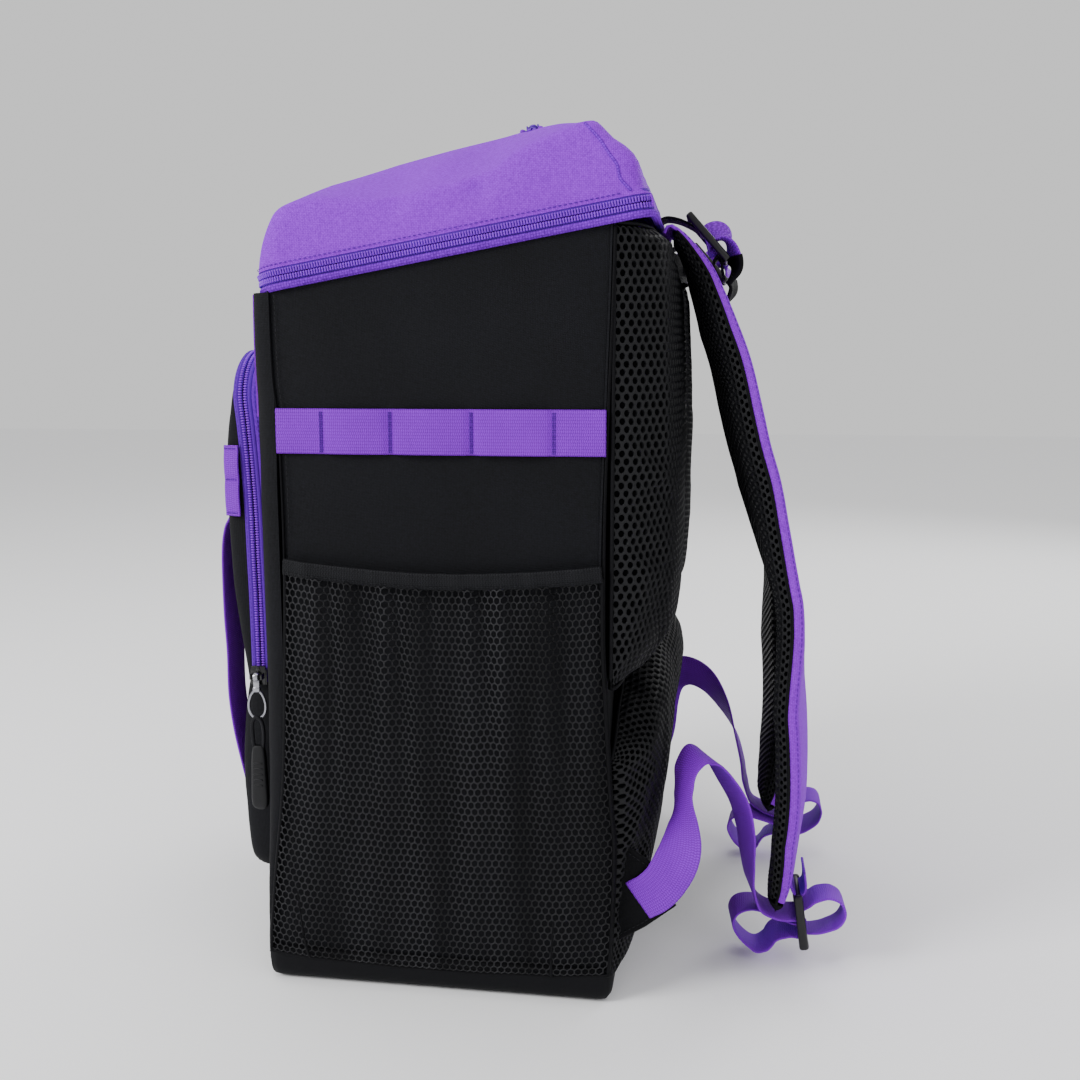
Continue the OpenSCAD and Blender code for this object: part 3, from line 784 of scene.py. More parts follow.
def moved(part, f):
    """The part with its points put through f(x, y, z)."""
    V = np.asarray(part[0], float)
    W = f(V[:, 0], V[:, 1], V[:, 2])
    W = np.stack(W, 1)
    det = np.linalg.det(np.stack([np.stack(f(*(np.eye(3)[k][i] + np.zeros(1) for i in range(3))), 1)[0] - np.stack(f(np.zeros(1), np.zeros(1), np.zeros(1)), 1)[0] for k in range(3)]))
    F = part[1] if det > 0 else [g[::-1] for g in part[1]]
    return (W, F) + tuple(part[2:])


def rot(part, axis, deg, about=(0, 0, 0)):
    R = np.array(Matrix.Rotation(math.radians(deg), 3, axis))
    c = np.array(about, float)
    return ((np.asarray(part[0], float) - c) @ R.T + c,) + tuple(part[1:])


C10, S10 = math.cos(math.radians(10)), math.sin(math.radians(10))


def T(x, y, z):
    """From the lid zip's sloping frame to the bag's."""
    x, y, z = np.broadcast_arrays(np.asarray(x, float), y, z)
    return np.stack([x, 116 + y * C10 - z * S10, 442 + y * S10 + z * C10], -1)


UP10 = np.array([0, -S10, C10])

# ------------------------------------------------------------------ body outlines from the photo
ySf = curve([0, 20, 63, 120, 180, 252, 310, 337, 353, 403, 440], [-103, -103, -99, -92.5, -89.5, -87.5, -88, -89.5, -91, -92, -92])
yBk = curve([0, 20, 40, 92, 120, 190, 218, 277, 335, 382, 440], [96.5, 97, 98, 99.3, 97, 92.8, 91.8, 91.8, 93.3, 95, 96.6])
zTop = curve([-100, -96, -76, -36, 6, 45, 91, 115], [397, 398, 403, 410, 417, 425, 433, 437])
yF = lambda z: -104.2 + 0 * z


# side panels
def side_surface(u, v, x0=150.0):
    z1 = zTop(ySf(400) + (yBk(430) - ySf(400)) * u)
    z = 17 + (z1 - 17) * v
    y = ySf(z) + (yBk(z) - ySf(z)) * u
    ed = np.minimum(np.minimum(u, 1 - u) * 190, 40) / 40
    q = 1 - (1 - np.clip(ed, 0, 1)) ** 2
    x = x0 - 1.6 + 1.7 * q + 0.55 * smooth_noise(y / 90, z / 120, 3) * q
    x = x - 0.9 * np.exp(-((v - 0.52) / 0.03) ** 2) * q
    return np.stack([x, y, z], -1)


uu, vv = np.meshgrid(np.linspace(0, 1, 60), np.linspace(0, 1, 90), indexing="ij")
panel("side_cloth", side_surface(uu, vv), 1.2, "bag", "black_fabric", mat_black, ("side_panel_",), out=(1, 0, 0), two=True)


# front panel wraps round both front corners
def front_surface(u, v, z0=17.0, z1=None, off=0.0, xl=150.0):
    """u from -1 to 1 across, v up."""
    z = z0 + ((397.5 if z1 is None else z1) - z0) * v
    r = np.clip(ySf(z) - yF(z), 1.5, 14)
    flat, arc = xl - r, pi / 2 * r
    s = np.abs(u) * (flat + arc)
    a = np.clip((s - flat) / r, 0, pi / 2)
    x = np.where(s < flat, s, flat + r * np.sin(a)) * np.sign(u)
    y = yF(z) + r * (1 - np.cos(a)) + 0.5 * smooth_noise(u * 1.6, z / 110, 5)
    return np.stack([x + np.sign(u) * off * np.sin(a), y - off * np.cos(a), z], -1)


uu, vv = np.meshgrid(np.sign(np.linspace(-1, 1, 101)) * np.abs(np.linspace(-1, 1, 101)) ** 0.6, np.linspace(0, 1, 70), indexing="ij")
panel("front_cloth", front_surface(uu, vv), 1.2, "bag", "black_fabric", mat_black, ("front_panel",), out=(0, -1, 0))
uu, vv = np.meshgrid(np.linspace(-0.885, 0.885, 81), np.linspace(0, 1, 26), indexing="ij")
AC = front_surface(uu, vv, 330.0, 397.2, 1.0)
AC[..., 1] -= 3.4 * np.sin(pi * np.clip(vv, 0, 1)) ** 0.7 * (1 - np.abs(uu / 0.885) ** 5)
panel("front_accent_cloth", AC, 1.1, "bag", "purple_fabric", mat_purple, ("front_accent_panel",), out=(0, -1, 0))

# back panel
uu, vv = np.meshgrid(np.linspace(-1, 1, 61), np.linspace(0, 1, 60), indexing="ij")
zz = 17 + (434 - 17) * vv
xx = uu * 149.6
yy = yBk(zz) + 0.4 - 1.5 * (np.abs(uu) ** 12) + 0.5 * smooth_noise(uu * 1.4, zz / 100, 8)
panel("back_cloth", np.stack([xx, yy, zz], -1), 1.2, "bag", "black_fabric", mat_black, ("back_panel",), out=(0, 1, 0))


# seams: a narrow welt where the panels meet, and a row of stitches beside it
def seam_pipe(name, pts, r, mat, slot, body, two=True, k=7, n=110):
    V, F, uv = tube(pts, r, k=k, n=n)
    return (mk2 if two else mk)(name, V, F, body, slot, mat, (), uv, sharp=0)


zs = np.linspace(19, 400, 60)
seam_pipe("front_seam", np.stack([149.2 + 0 * zs, ySf(zs) - 0.4, zs], 1), 0.75, mat_black2, "black_fabric", "bag")
zs = np.linspace(19, 430, 60)
seam_pipe("back_seam", np.stack([149.0 + 0 * zs, yBk(zs) + 0.2, zs], 1), 0.95, mat_black2, "black_fabric", "bag")
zs = np.linspace(266, 396, 40)
V, F, _ = stitches(np.stack([149.55 + 0 * zs, ySf(zs) + 3.2, zs], 1), (1, 0, 0), pitch=3.0, length=2.2, w=0.5, lift=0.3)
mk2("front_seam_stitches", V, F, "bag", "black_fabric", mat_thread_b, sharp=0)


# base boot: rounded plan, turned under at the bottom
def plan_ring(hx, y0, y1, r0, r1, n=220):
    """Rounded rectangle from the back's middle round; r0 is the front corner radius and r1 the back one."""
    pts = []

    def arc(cx, cy, r, a0, a1):
        for a in np.radians(np.linspace(a0, a1, 14)):
            pts.append((cx + r * math.cos(a), cy + r * math.sin(a)))

    pts.append((0, y1))
    arc(hx - r1, y1 - r1, r1, 90, 0)
    arc(hx - r0, y0 + r0, r0, 0, -90)
    arc(-hx + r0, y0 + r0, r0, -90, -180)
    arc(-hx + r1, y1 - r1, r1, 180, 90)
    pts.append((0, y1))
    p = np.array(pts)
    s = np.concatenate([[0], np.cumsum(np.linalg.norm(np.diff(p, axis=0), axis=1))])
    x = np.linspace(0, s[-1], n + 1)[:-1]
    return np.stack([np.interp(x, s, p[:, 0]), np.interp(x, s, p[:, 1])], 1)


boot_sec = [(0.2, 21.5), (0.9, 20.5), (1.3, 17), (1.4, 12), (0.9, 7), (-0.8, 3), (-4.5, 0.7), (-10, 0.15)]
rows = []
for off, z in catmull(np.array(boot_sec), 16):
    rows.append(np.concatenate([plan_ring(150.2 + off, -104.0 - off, 97.2 + off, max(5 + off, 1), max(5 + off, 1)), np.full((220, 1), z)], 1))
P = np.stack(rows, 1)
panel("boot_cloth", P, 1.4, "bag", "boot_fabric", mat_boot, ("base_boot",), out=([0, -3, 12],), wrap=True)
ring = plan_ring(150.2 + 0.5, -104.5, 97.7, 5, 5)
rp = np.concatenate([ring, np.full((220, 1), 20.6)], 1)
V, F, uv = tube(rp, 1.0, k=7, closed=True)
mk("boot_welt", V, F, "bag", "boot_fabric", mat_black2, (), uv, sharp=0)
N = np.concatenate([unitv(ring - np.array([0, -3])), np.zeros((220, 1))], 1)
V, F, _ = stitches(np.concatenate([plan_ring(151.4, -105.2, 98.4, 5, 5), np.full((220, 1), 16.8)], 1), N, pitch=3.4, length=2.5, w=0.5, lift=0.15)
mk("boot_stitches", V, F, "bag", "boot_fabric", mat_thread_b, sharp=0)
uu, vv = np.meshgrid(np.linspace(-1, 1, 40), np.linspace(0, 1, 30), indexing="ij")
P = np.stack([uu * 146, -99 + 191.5 * vv, 0.45 + 0.5 * (uu**2 + (2 * vv - 1) ** 2) + 0.2 * smooth_noise(uu, vv, 9)], -1)
panel("base_cloth", P, 1.2, "bag", "boot_fabric", mat_boot, out=(0, 0, -1))

# ------------------------------------------------------------------ zip round the lid
NR = 300


def lid_ring(off, z, n=NR, rf=17, rb=9):
    """A ring round the lid opening, off outward of X 151.2, at height z in the sloping frame."""
    p = plan_ring(151.2 + off, -220.2 - off, -0.8 + off, rf + off, rb + off, n)
    return T(p[:, 0], p[:, 1], z), p


def band(name, sec, body, slot, mat, reps, t=1.0, n=16):
    rows = [lid_ring(o, z)[0] for o, z in catmull(np.array(sec, float), n)]
    P = np.stack(rows, 1)
    return panel(name, P, t, body, slot, mat, reps, out=([0, 8, 420],), wrap=True)


band("collar_tape", [(-1.2, -7.6), (-0.9, -5.6), (-0.55, -4.2), (-0.15, -3.5), (0.0, -2.8), (-0.25, -1.6), (-0.9, -0.5)], "bag", "zip_tape", mat_tape, ("collar_zip_tape",))
band("lid_tape", [(-0.9, 0.5), (-0.25, 1.6), (0.0, 2.8), (-0.1, 3.8), (-0.4, 5.0), (-1.0, 7.0)], "lid", "zip_tape", mat_tape, ("lid_zip_tape",))


def cut(pts, y_max):
    """The part of a closed ring, from the right side over the front to the left, in front of y' = y_max."""
    p2 = plan_ring(151.2, -220.2, -0.8, 17, 9, len(pts))
    k = np.where(p2[:, 1] < y_max)[0]
    return pts[k]


def ring_normals(pts):
    t = unitv(np.gradient(pts, axis=0))
    n = np.cross(t, UP10[None])
    return n * np.sign((n * (pts - np.array([0, 8, 420]))).sum(1, keepdims=True))


pp = lid_ring(-0.25, -5.75)[0]
V, F, uv = tube(pp, 2.0, k=14, closed=True, up=UP10)
mk("collar_piping", V, F, "bag", "purple_fabric", mat_pipe_p, (), uv, sharp=0)
# cloth hinge across the back, between the two tapes
hx = np.linspace(-149, 149, 60)
hz = np.linspace(-3.0, 3.4, 9)
P = np.stack([T(hx, -0.9 + 0.5 * (1 - (z / 3.2) ** 2), z) for z in hz], 1)
V, F, uv, _s = shell(P, 0.9, (0, 1, 0))
hp0, hp1 = T(0, 0, -1.6), T(0, 0, 1.6)
mk("lid_hinge_cloth", V, F, ("bag", "lid", tuple(hp0), tuple(hp1)), "purple_fabric", mat_purple, (), uv, sharp=0)
for nm, z, body, ph_ in (("collar_coil", -1.6, "bag", 0.0), ("lid_coil", 1.6, "lid", 0.5)):
    line = cut(lid_ring(0.2, z)[0], -1.6)
    N = ring_normals(line)
    P_, T_, S_, N_ = along(line, N, 1.5, 1.0, phase=ph_)
    up = np.repeat(UP10[None], len(P_), 0)
    a = stamp(P_ + N_ * 0.5, up, T_, N_, (3.1, 1.12, 1.5))
    bead = stamp(P_ + N_ * 0.62 + up * (0.98 if z > 0 else -0.98), up, T_, N_, (1.25, 1.25, 1.7))
    a = join(a, bead)
    base = tube(cut(lid_ring(-0.3, z * 0.5)[0], -5), 0.6, k=6)
    V, F, _ = join(a, (base[0], base[1]))
    mk(nm, V, F, body, "zip_tape", mat_coil, sharp=0)
for nm, z, body, off in (("lid_stitch", 6.1, "lid", 0.5),):
    line = cut(lid_ring(off, z)[0], -14)
    V, F, _ = stitches(line, ring_normals(line), pitch=2.8, length=2.1, w=0.5, lift=0.05)
    mk(nm, V, F, body, "zip_tape", mat_thread_d, sharp=0)

# ------------------------------------------------------------------ lid
ridge = curve([-206, -200, -185, -166, -142, -110, -91, -80, -66, -45, -26, -20], [37, 37.6, 38.3, 34.6, 30.2, 30.6, 31.6, 33.5, 40, 45, 48, 48.6])
crown = curve([-208, -204, -198, -191, -180, -155, -142, -112, -77, -66, -56, -45, -34, -26, -20], [40, 46, 53, 58, 61, 66, 67.8, 69.6, 70.2, 69.2, 69.4, 67.3, 61, 52, 49])


def dome(x, y):
    s = np.clip(np.abs(x) / 143.0, 0, 1)
    z = ridge(y) + (crown(y) - ridge(y)) * (1 - s**2.4)
    far = np.where(x < 0, 1.0, 0.0)
    z = z - 2.6 * np.exp(-(((np.abs(x) - 120) / 22) ** 2) - ((y + 136) / 15) ** 2) * (1 - 0.5 * far)
    z = z - 2.2 * np.exp(-(((np.abs(x) - 116) / 24) ** 2) - ((y + 90) / 12) ** 2) * (1 - 0.6 * far)
    z = z + 1.1 * np.exp(-(((np.abs(x) - 118) / 26) ** 2) - ((y + 112) / 12) ** 2)
    e = np.clip(np.minimum(143 - np.abs(x), np.minimum(y + 203, -26 - y)) / 22, 0, 1)
    return z + 0.75 * smooth_noise(x / 120, y / 90, 11) * e


# rim ring and the zip-side ring are matched corner by corner, so the wall doesn't twist
def corner_params(p):
    """Arc lengths at the four corners of a ring."""
    q = np.concatenate([p, p[:1]])
    s = np.concatenate([[0], np.cumsum(np.linalg.norm(np.diff(q, axis=0), axis=1))])
    ks = [int(np.argmax(p[:, 0] * sx + p[:, 1] * sy)) for sx, sy in ((1, 1), (1, -1), (-1, -1), (-1, 1))]
    return [0.0] + [s[k] for k in ks] + [s[-1]], s, q


def matched(p, n):
    cs, s, q = corner_params(p)
    counts = [int(n * f) for f in (0.16, 0.21, 0.26, 0.21)]
    counts.append(n - sum(counts))
    xs = np.concatenate([np.linspace(a, b, c, endpoint=False) for a, b, c in zip(cs[:-1], cs[1:], counts)])
    return np.stack([np.interp(xs, s, q[:, k]) for k in range(q.shape[1])], 1)


NW = 360
rim2 = matched(plan_ring(143.0, -205.5, -24.0, 12, 8, 600), NW)
bot2 = matched(plan_ring(151.5, -220.5, -0.6, 17, 9, 600), NW)
rows = []
for v in np.linspace(0, 1, 19):
    p = bot2 * (1 - v) + rim2 * v
    zr = ridge(rim2[:, 1]) + 2.5 * np.exp(-(((rim2[:, 1] + 205) / 10) ** 2)) * (np.abs(rim2[:, 0]) < 128)
    z = 4.2 + (zr - 4.2) * v
    o = unitv(p - np.array([0, -112]))
    back = np.clip((p[:, 1] + 40) / 40, 0, 1) * (np.abs(p[:, 0]) < 148)
    front = np.clip((-190 - p[:, 1]) / 12, 0, 1)
    bul = np.sin(pi * v) * (1.5 + 1.6 * front)
    dent = 0
    for yc, wd_, zc, am in ((-136, 8.0, 27.0, 2.6), (-89, 7.0, 26.0, 3.4), (-112, 14.0, 14.0, 1.0)):
        dent = dent + am * np.exp(-(((p[:, 1] - yc) / wd_) ** 2) - ((z - zc) / 8.0) ** 2) * np.where(p[:, 0] > 0, 1.0, 0.55)
    wav = 1.0 * smooth_noise(p[:, 0] / 90 + z / 60, p[:, 1] / 80, 21) * np.sin(pi * v) ** 0.8
    p = p + o * (bul + wav)[:, None] - np.stack([np.sign(p[:, 0]) * dent, 0 * dent], 1)
    p[:, 1] += np.clip((rim2[:, 1] + 44) / 16, 0, 1) * np.interp(v, [0, 0.1, 0.27, 0.38, 0.51, 0.62, 0.75, 1], [0, -1.5, 1.6, 4.0, 4.6, 3.4, 0.6, 0.8])
    if v > 0:
        p[:, 1] = np.minimum(p[:, 1], 2.0)
    rows.append(T(p[:, 0], p[:, 1], z))
NC = np.array([0.0, -67.0])
for t in np.concatenate([[0.012, 0.03, 0.055, 0.085], np.linspace(0.12, 0.985, 30)]):
    p = rim2 * (1 - t) + NC * t
    z = dome(p[:, 0], p[:, 1])
    if t < 0.1:
        z = z * (t / 0.1) ** 0.5 + (ridge(rim2[:, 1])) * (1 - (t / 0.1) ** 0.5)
    rows.append(T(p[:, 0], p[:, 1], z))
P = np.stack(rows, 1)
for _ in range(5):
    Q_ = P.copy()
    lo_, hi_ = 14, 25
    Q_[:, lo_:hi_] = (P[:, lo_ - 1 : hi_ - 1] + P[:, lo_:hi_] * 2 + P[:, lo_ + 1 : hi_ + 1]) / 4
    P = Q_
V, F, uv, _s = shell(P, 1.3, ([0, 8, 440],), wrap=True)
lid_ob = mk("lid_cloth", V, F, "lid", "purple_fabric", mat_purple, ("lid_shell",), "box", sharp=55)
real = area_of(V, F) / 2 * 1e-6
# seams at the two back corners
for i, (sx, sy) in enumerate(((1, 1), (-1, 1))):
    pts = []
    for j in range(1, 19):
        v = j / 18
        xy = np.stack([P[:, j, 0], (P[:, j] - np.array([0, 116, 442])) @ np.array([0, C10, S10])], 1)
        target = np.array([sx * (149.0 - 3.5 * v), -10.0 - 17.5 * v])
        pts.append(P[int(np.argmin(np.linalg.norm(xy - target, axis=1))), j])
    V, F, uv = tube(np.array(pts)[[0, 3, 6, 9, 12, 15, 17]], 0.75, k=7, n=40)
    mk(f"lid_corner_seam_{i}", V, F, "lid", "purple_fabric", mat_pipe_p, (), uv, sharp=0)


def on_dome(x, y, h=0.0):
    x, y = np.asarray(x, float), np.asarray(y, float)
    e = 1.0
    p = T(x, y, dome(x, y))
    n = np.cross(T(x + e, y, dome(x + e, y)) - p, T(x, y + e, dome(x, y + e)) - p)
    return p + unitv(n) * h


# patch at the front of the crown
pu, pv = np.meshgrid(np.linspace(-1, 1, 49), np.linspace(-1, 1, 33), indexing="ij")
corner = np.clip((np.abs(pu) - 0.86) / 0.14, 0, 1) ** 2 * np.clip((np.abs(pv) - 0.7) / 0.3, 0, 1) ** 2
px_, py_ = pu * 42 * (1 - 0.03 * corner), -173 + pv * 18.3 * (1 - 0.10 * corner)
ed = np.minimum((1 - np.abs(pu)) * 42, (1 - np.abs(pv)) * 18.3)
hgt = 0.6 + 1.9 * np.sqrt(1 - (1 - np.clip(ed / 2.2, 0, 1)) ** 2) + 0.25 * smooth_noise(pu * 2, pv, 31)
G = on_dome(px_, py_, 0) + (on_dome(px_, py_, 1) - on_dome(px_, py_, 0)) * hgt[..., None]
panel("lid_patch_cloth", G, 1.4, "lid", "patch", mat_patch, ("lid_patch",), out=(0, 0, 1))
lp = np.array([(-38.5, -188), (38.5, -188), (38.5, -158), (-38.5, -158), (-38.5, -188)])
lp = np.concatenate([np.linspace(a, b, 30, endpoint=False) for a, b in zip(lp[:-1], lp[1:])] + [lp[-1:]])
V, F, _ = stitches(on_dome(lp[:, 0], lp[:, 1], 2.55), UP10, pitch=2.6, length=1.9, w=0.5, lift=0.05)
mk("lid_patch_stitches", V, F, "lid", "patch", mat_thread_p, sharp=0)

# pocket zip across the crown, between two rolled welts
xs = np.linspace(-60, 60, 60)
for i, (yy_, hh) in enumerate(((-72.5, 0.5), (-61.5, 0.5))):
    V, F, uv = tube(on_dome(xs, 0 * xs + yy_, hh), 1.5, k=9)
    mk(f"lid_pocket_welt_{i}", V, F, "lid", "zip_tape", mat_purple, (), uv, sharp=0)
parts = []
for sgn in (-1, 1):
    line = on_dome(xs, 0 * xs - 67 + sgn * 1.55, 0.5)
    P_, T_, S_, N_ = along(line, UP10, 1.5, 1.0, phase=0.25 + sgn * 0.25)
    parts.append(stamp(P_ + N_ * 0.5, S_, T_, N_, (2.5, 1.05, 1.4)))
V, F, _ = join(*parts)
mk("lid_pocket_coil", V, F, "lid", "zip_tape", mat_coil, sharp=0)
uu, vv = np.meshgrid(np.linspace(-61, 61, 40), np.linspace(-73, -61, 7), indexing="ij")
panel("lid_pocket_tape", on_dome(uu, vv, 0.55), 0.5, "lid", "zip_tape", mat_tape, ("lid_pocket_zip",), out=(0, 0, 1))


# ------------------------------------------------------------------ zip sliders, in the CAD's u, v, w
def slider_body(lu, lv, metal_w=3.2):
    """u across, v along the zip, w off it. The pull's loop goes round the axle at w 6."""
    p = [rbox((0, 0, 2.6), (lu * 0.86, lv, 1.5), 0.7, 2), rbox((0, 0, 0.75), (lu * 0.74, lv * 0.94, 0.9), 0.4, 1)]
    for s in (-1, 1):
        p.append(rbox((s * lu * 0.42, -lv * 0.08, 1.6), (lu * 0.13, lv * 0.8, 2.6), 0.5, 2))
        p.append(rbox((s * 3.3, 0, 5.3), (1.3, 3.4, 4.6), 0.5, 2))
    p.append(rbox((0, lv * 0.3, 3.0), (2.6, lv * 0.36, 1.8), 0.6, 2))
    V, F, _ = tube(np.array([[-3.6, 0, 6], [0, 0, 6], [3.6, 0, 6]]), 0.8, k=10)
    p.append((V, F))
    return join(*p)


def eye_loop(half=2.0):
    """The loop round the axle and its neck."""
    ang = np.linspace(0, 2 * pi, 25)[:-1]
    c = np.stack([0 * ang, 1.68 * np.cos(ang), 6 + 1.68 * np.sin(ang)], 1)
    V, F, _ = tube(c, 1.0, k=8, closed=True, up=(1, 0, 0))
    V = V * np.array([1.9, 1, 1])
    return join((V, F), rbox((0, -4.6, 6), (3.9, 6.6, 1.9), 0.7, 2))


def lid_slide(s):
    return lambda u, v, w: (s * 10 + u, -102.9 - w, 403.6 + v)


pull_plate = join(eye_loop(), rbox((0, -16.9, 6.0), (7.0, 19.8, 2.4), 1.1, 3), rbox((0, -16.9, 7.3), (4.0, 13.5, 0.6), 0.28, 1), *[rbox((0, -12 - 2.6 * i, 7.45), (4.4, 0.9, 0.6), 0.25, 1) for i in range(5)])
for side, s in (("right", 1), ("left", -1)):
    V, F, _ = moved(slider_body(13, 10), lid_slide(s))
    mk(f"lid_slider_body_{side}", V, F, f"lid_slider_{side}", "zip_metal", mat_zipmetal, (f"lid_slider_{side}",))
    V, F, _ = moved(pull_plate, lid_slide(s))
    mk(f"lid_pull_tab_{side}", V, F, f"lid_pull_{side}", "zip_metal", mat_zipmetal, (f"lid_pull_{side}",))


def lid_pocket_at(u, v, w):
    q = T(50 + u, -67 + v, dome(np.array([50.0]), np.array([-67.0]))[0] + 0.3 + w * 0.5)
    return q[..., 0], q[..., 1], q[..., 2]


sb = slider_body(8, 11)
tab = join(eye_loop(), rbox((0, -15, 6), (5.4, 16, 1.9), 0.8, 3))
tab = rot(tab, "X", 78, (0, 0, 6))
sb = (np.stack([sb[0][:, 1] * 1.0, sb[0][:, 0], sb[0][:, 2]], 1), [f[::-1] for f in sb[1]])
tab = (np.stack([tab[0][:, 1], tab[0][:, 0], tab[0][:, 2]], 1), [f[::-1] for f in tab[1]])
tab = (tab[0] * np.array([1, 1, 1]), tab[1])
low = rot(join(eye_loop(), rbox((0, -14, 6), (5.4, 14, 1.9), 0.8, 3)), "X", 24, (0, 0, 6))
low = (np.stack([low[0][:, 1], low[0][:, 0], low[0][:, 2]], 1), [f[::-1] for f in low[1]])
V, F, _ = moved(join(sb, low), lid_pocket_at)
mk("lid_pocket_slider_body", V, F, "lid_pocket_slider", "zip_metal", mat_zipmetal, ("lid_pocket_slider",))

# ------------------------------------------------------------------ back pads: foam core under open spacer mesh
def pad_pieces(name, S, W, H, out, reps, body="bag", mask=None, back_y=None, two=True, p=4.9, deep=1.4, nu=46, nv=60, extra=None, pressure=None):
    """A core that the holes show, coloured darker than the black cloth as painted shade in the holes, and the holed
    mesh over it. S(u, v) gives the mesh's own face, W and H its size.
    """
    uu, vv = np.meshgrid(np.linspace(0, 1, nu), np.linspace(0, 1, nv), indexing="ij")
    G = S(uu, vv)
    n = normals(G)
    if outward(G, n, out):
        n = -n
    core = G - n * (deep - 0.1)
    if back_y is not None:
        core[..., 1] = np.maximum(core[..., 1], back_y + 0.4)
        Q = G.copy()
        Q[..., 1] = back_y
    else:
        Q = G - n * 6
    V = np.concatenate([core.reshape(-1, 3), Q.reshape(-1, 3)])
    k = nu * nv
    fl = outward(G, normals(G), out)
    F = gridF(nu, nv, 0, fl) + gridF(nu, nv, k, not fl)
    idx = np.arange(k).reshape(nu, nv)
    L = list(idx[:, 0]) + list(idx[-1, 1:]) + list(idx[-2::-1, -1]) + list(idx[0, -2::-1])
    for a, b in zip(L[:-1], L[1:]):
        f = [b, a, a + k, b + k]
        F.append(f[::-1] if fl else f)
    made = (mk2 if two else mk)(name + "_core", V, F, body, "spacer_mesh", mat_core_shade, reps, sharp=0)
    flip = -1 if fl else 1
    V, F, _ = spacer(S, W, H, p=p, deep=deep, mask=mask, flip=flip)
    (mk2 if two else mk)(name + "_mesh", V, F, body, "spacer_mesh", mat_spacer, (), sharp=0)


up_y = curve([186, 190, 200, 210, 230, 249, 285, 321, 366, 388, 402, 415, 424, 431], [103, 112, 121, 126, 128.8, 130, 130, 130, 128.5, 127.5, 127, 125.5, 123.5, 114])
up_plan = curve([13, 16, 22, 34, 52, 75, 96, 116, 130, 140, 146, 148.4], [0.0, 0.30, 0.56, 0.82, 0.96, 1.0, 0.985, 0.90, 0.76, 0.55, 0.30, 0.0])
up_x = catmull(np.stack([[13, 16, 22, 34, 52, 75, 96, 116, 130, 140, 146, 148.4], 100 * np.array([0, 0.30, 0.56, 0.82, 0.96, 1.0, 0.985, 0.90, 0.76, 0.55, 0.30, 0.0]) * 0.33], 1), 80)


def upper_surface(u, v):
    u, v = np.asarray(u, float), np.asarray(v, float)
    k = u * (len(up_x) - 1)
    x = np.interp(k, np.arange(len(up_x)), up_x[:, 0])
    z = 186.5 + (431 - 186.5) * v
    lo = 186.5 + 18 * (1 - np.clip((x - 13) / 135, 0, 1)) ** 1.0 - 3
    z = lo + (431.5 - lo) * v
    h = np.interp(k, np.arange(len(up_x)), up_x[:, 1]) / 33.0
    zz = 186 + (z - lo) * (245.5 / (431.5 - lo))
    y0 = 95.4
    y = y0 + (up_y(zz) - y0) * h
    y = y + 0.9 * smooth_noise(x / 60, z / 45, 41) * h
    return np.stack([x, y, z], -1)


G = upper_surface(*np.meshgrid(np.linspace(0, 1, 44), np.linspace(0, 1, 60), indexing="ij"))
G = puff(G, 3.0, 10, cap=2.2)
pad_pieces("upper_pad", grid_fn(G), 172.0, 246.0, (0, 1, 0), ("upper_back_pad_",), back_y=94.6)

lum_prof = catmull(np.array([(97, 14.5), (103, 16.5), (108, 24), (111.5, 40), (114, 58), (116.5, 77), (120, 96), (122.5, 115), (125.5, 134), (127.5, 149), (129, 163), (128.3, 175), (126, 186), (119, 195), (108, 199), (98, 200)], float), 90)


def lumbar_surface(u, v):
    u, v = np.asarray(u, float), np.asarray(v, float)
    w = 2 * u - 1
    x = np.sign(w) * (1 - (1 - np.abs(w)) ** 1.25) * 147.5
    k = v * (len(lum_prof) - 1)
    y = np.interp(k, np.arange(len(lum_prof)), lum_prof[:, 0])
    z = np.interp(k, np.arange(len(lum_prof)), lum_prof[:, 1])
    s = np.clip(np.abs(x) / 147.5, 0, 1)
    top = 199 - 56 * s**2.1
    z = 14.5 + (z - 14.5) * (top - 14.5) / 185.5
    hx = np.sqrt(np.clip(1 - s**7, 0, 1)) * (1 - 0.10 * s**2)
    y = 96.2 + (y - 96.2) * hx + 0.9 * smooth_noise(x / 70, z / 50, 43) * hx
    return np.stack([x, y, z], -1)


G = lumbar_surface(*np.meshgrid(np.linspace(0, 1, 72), np.linspace(0, 1, 50), indexing="ij"))
G = puff(G, 3.0, 10, cap=2.0)
pad_pieces("lumbar", grid_fn(G), 322.0, 212.0, (0, 1, 0), ("lumbar_pad",), back_y=95.4, two=False, nu=80, nv=54)
# binding round each upper pad, and along the top of the lumbar pad
e = np.concatenate([upper_surface(np.zeros(40), np.linspace(0, 1, 40)), upper_surface(np.linspace(0, 1, 50)[1:], np.ones(49)), upper_surface(np.ones(39), np.linspace(1, 0, 40)[1:]), upper_surface(np.linspace(1, 0, 50)[1:-1], np.zeros(48))])
V, F, uv = tube(e + np.array([0, 0.6, 0]), 1.15, k=7, closed=True)
mk2("upper_pad_binding", V, F, "bag", "black_fabric", mat_bind, (), uv, sharp=0)
e = lumbar_surface(np.linspace(0, 1, 120), np.ones(120))
V, F, uv = tube(e + np.array([0, 0.4, 0.4]), 1.15, k=7)
mk("lumbar_binding", V, F, "bag", "black_fabric", mat_bind, (), uv, sharp=0)

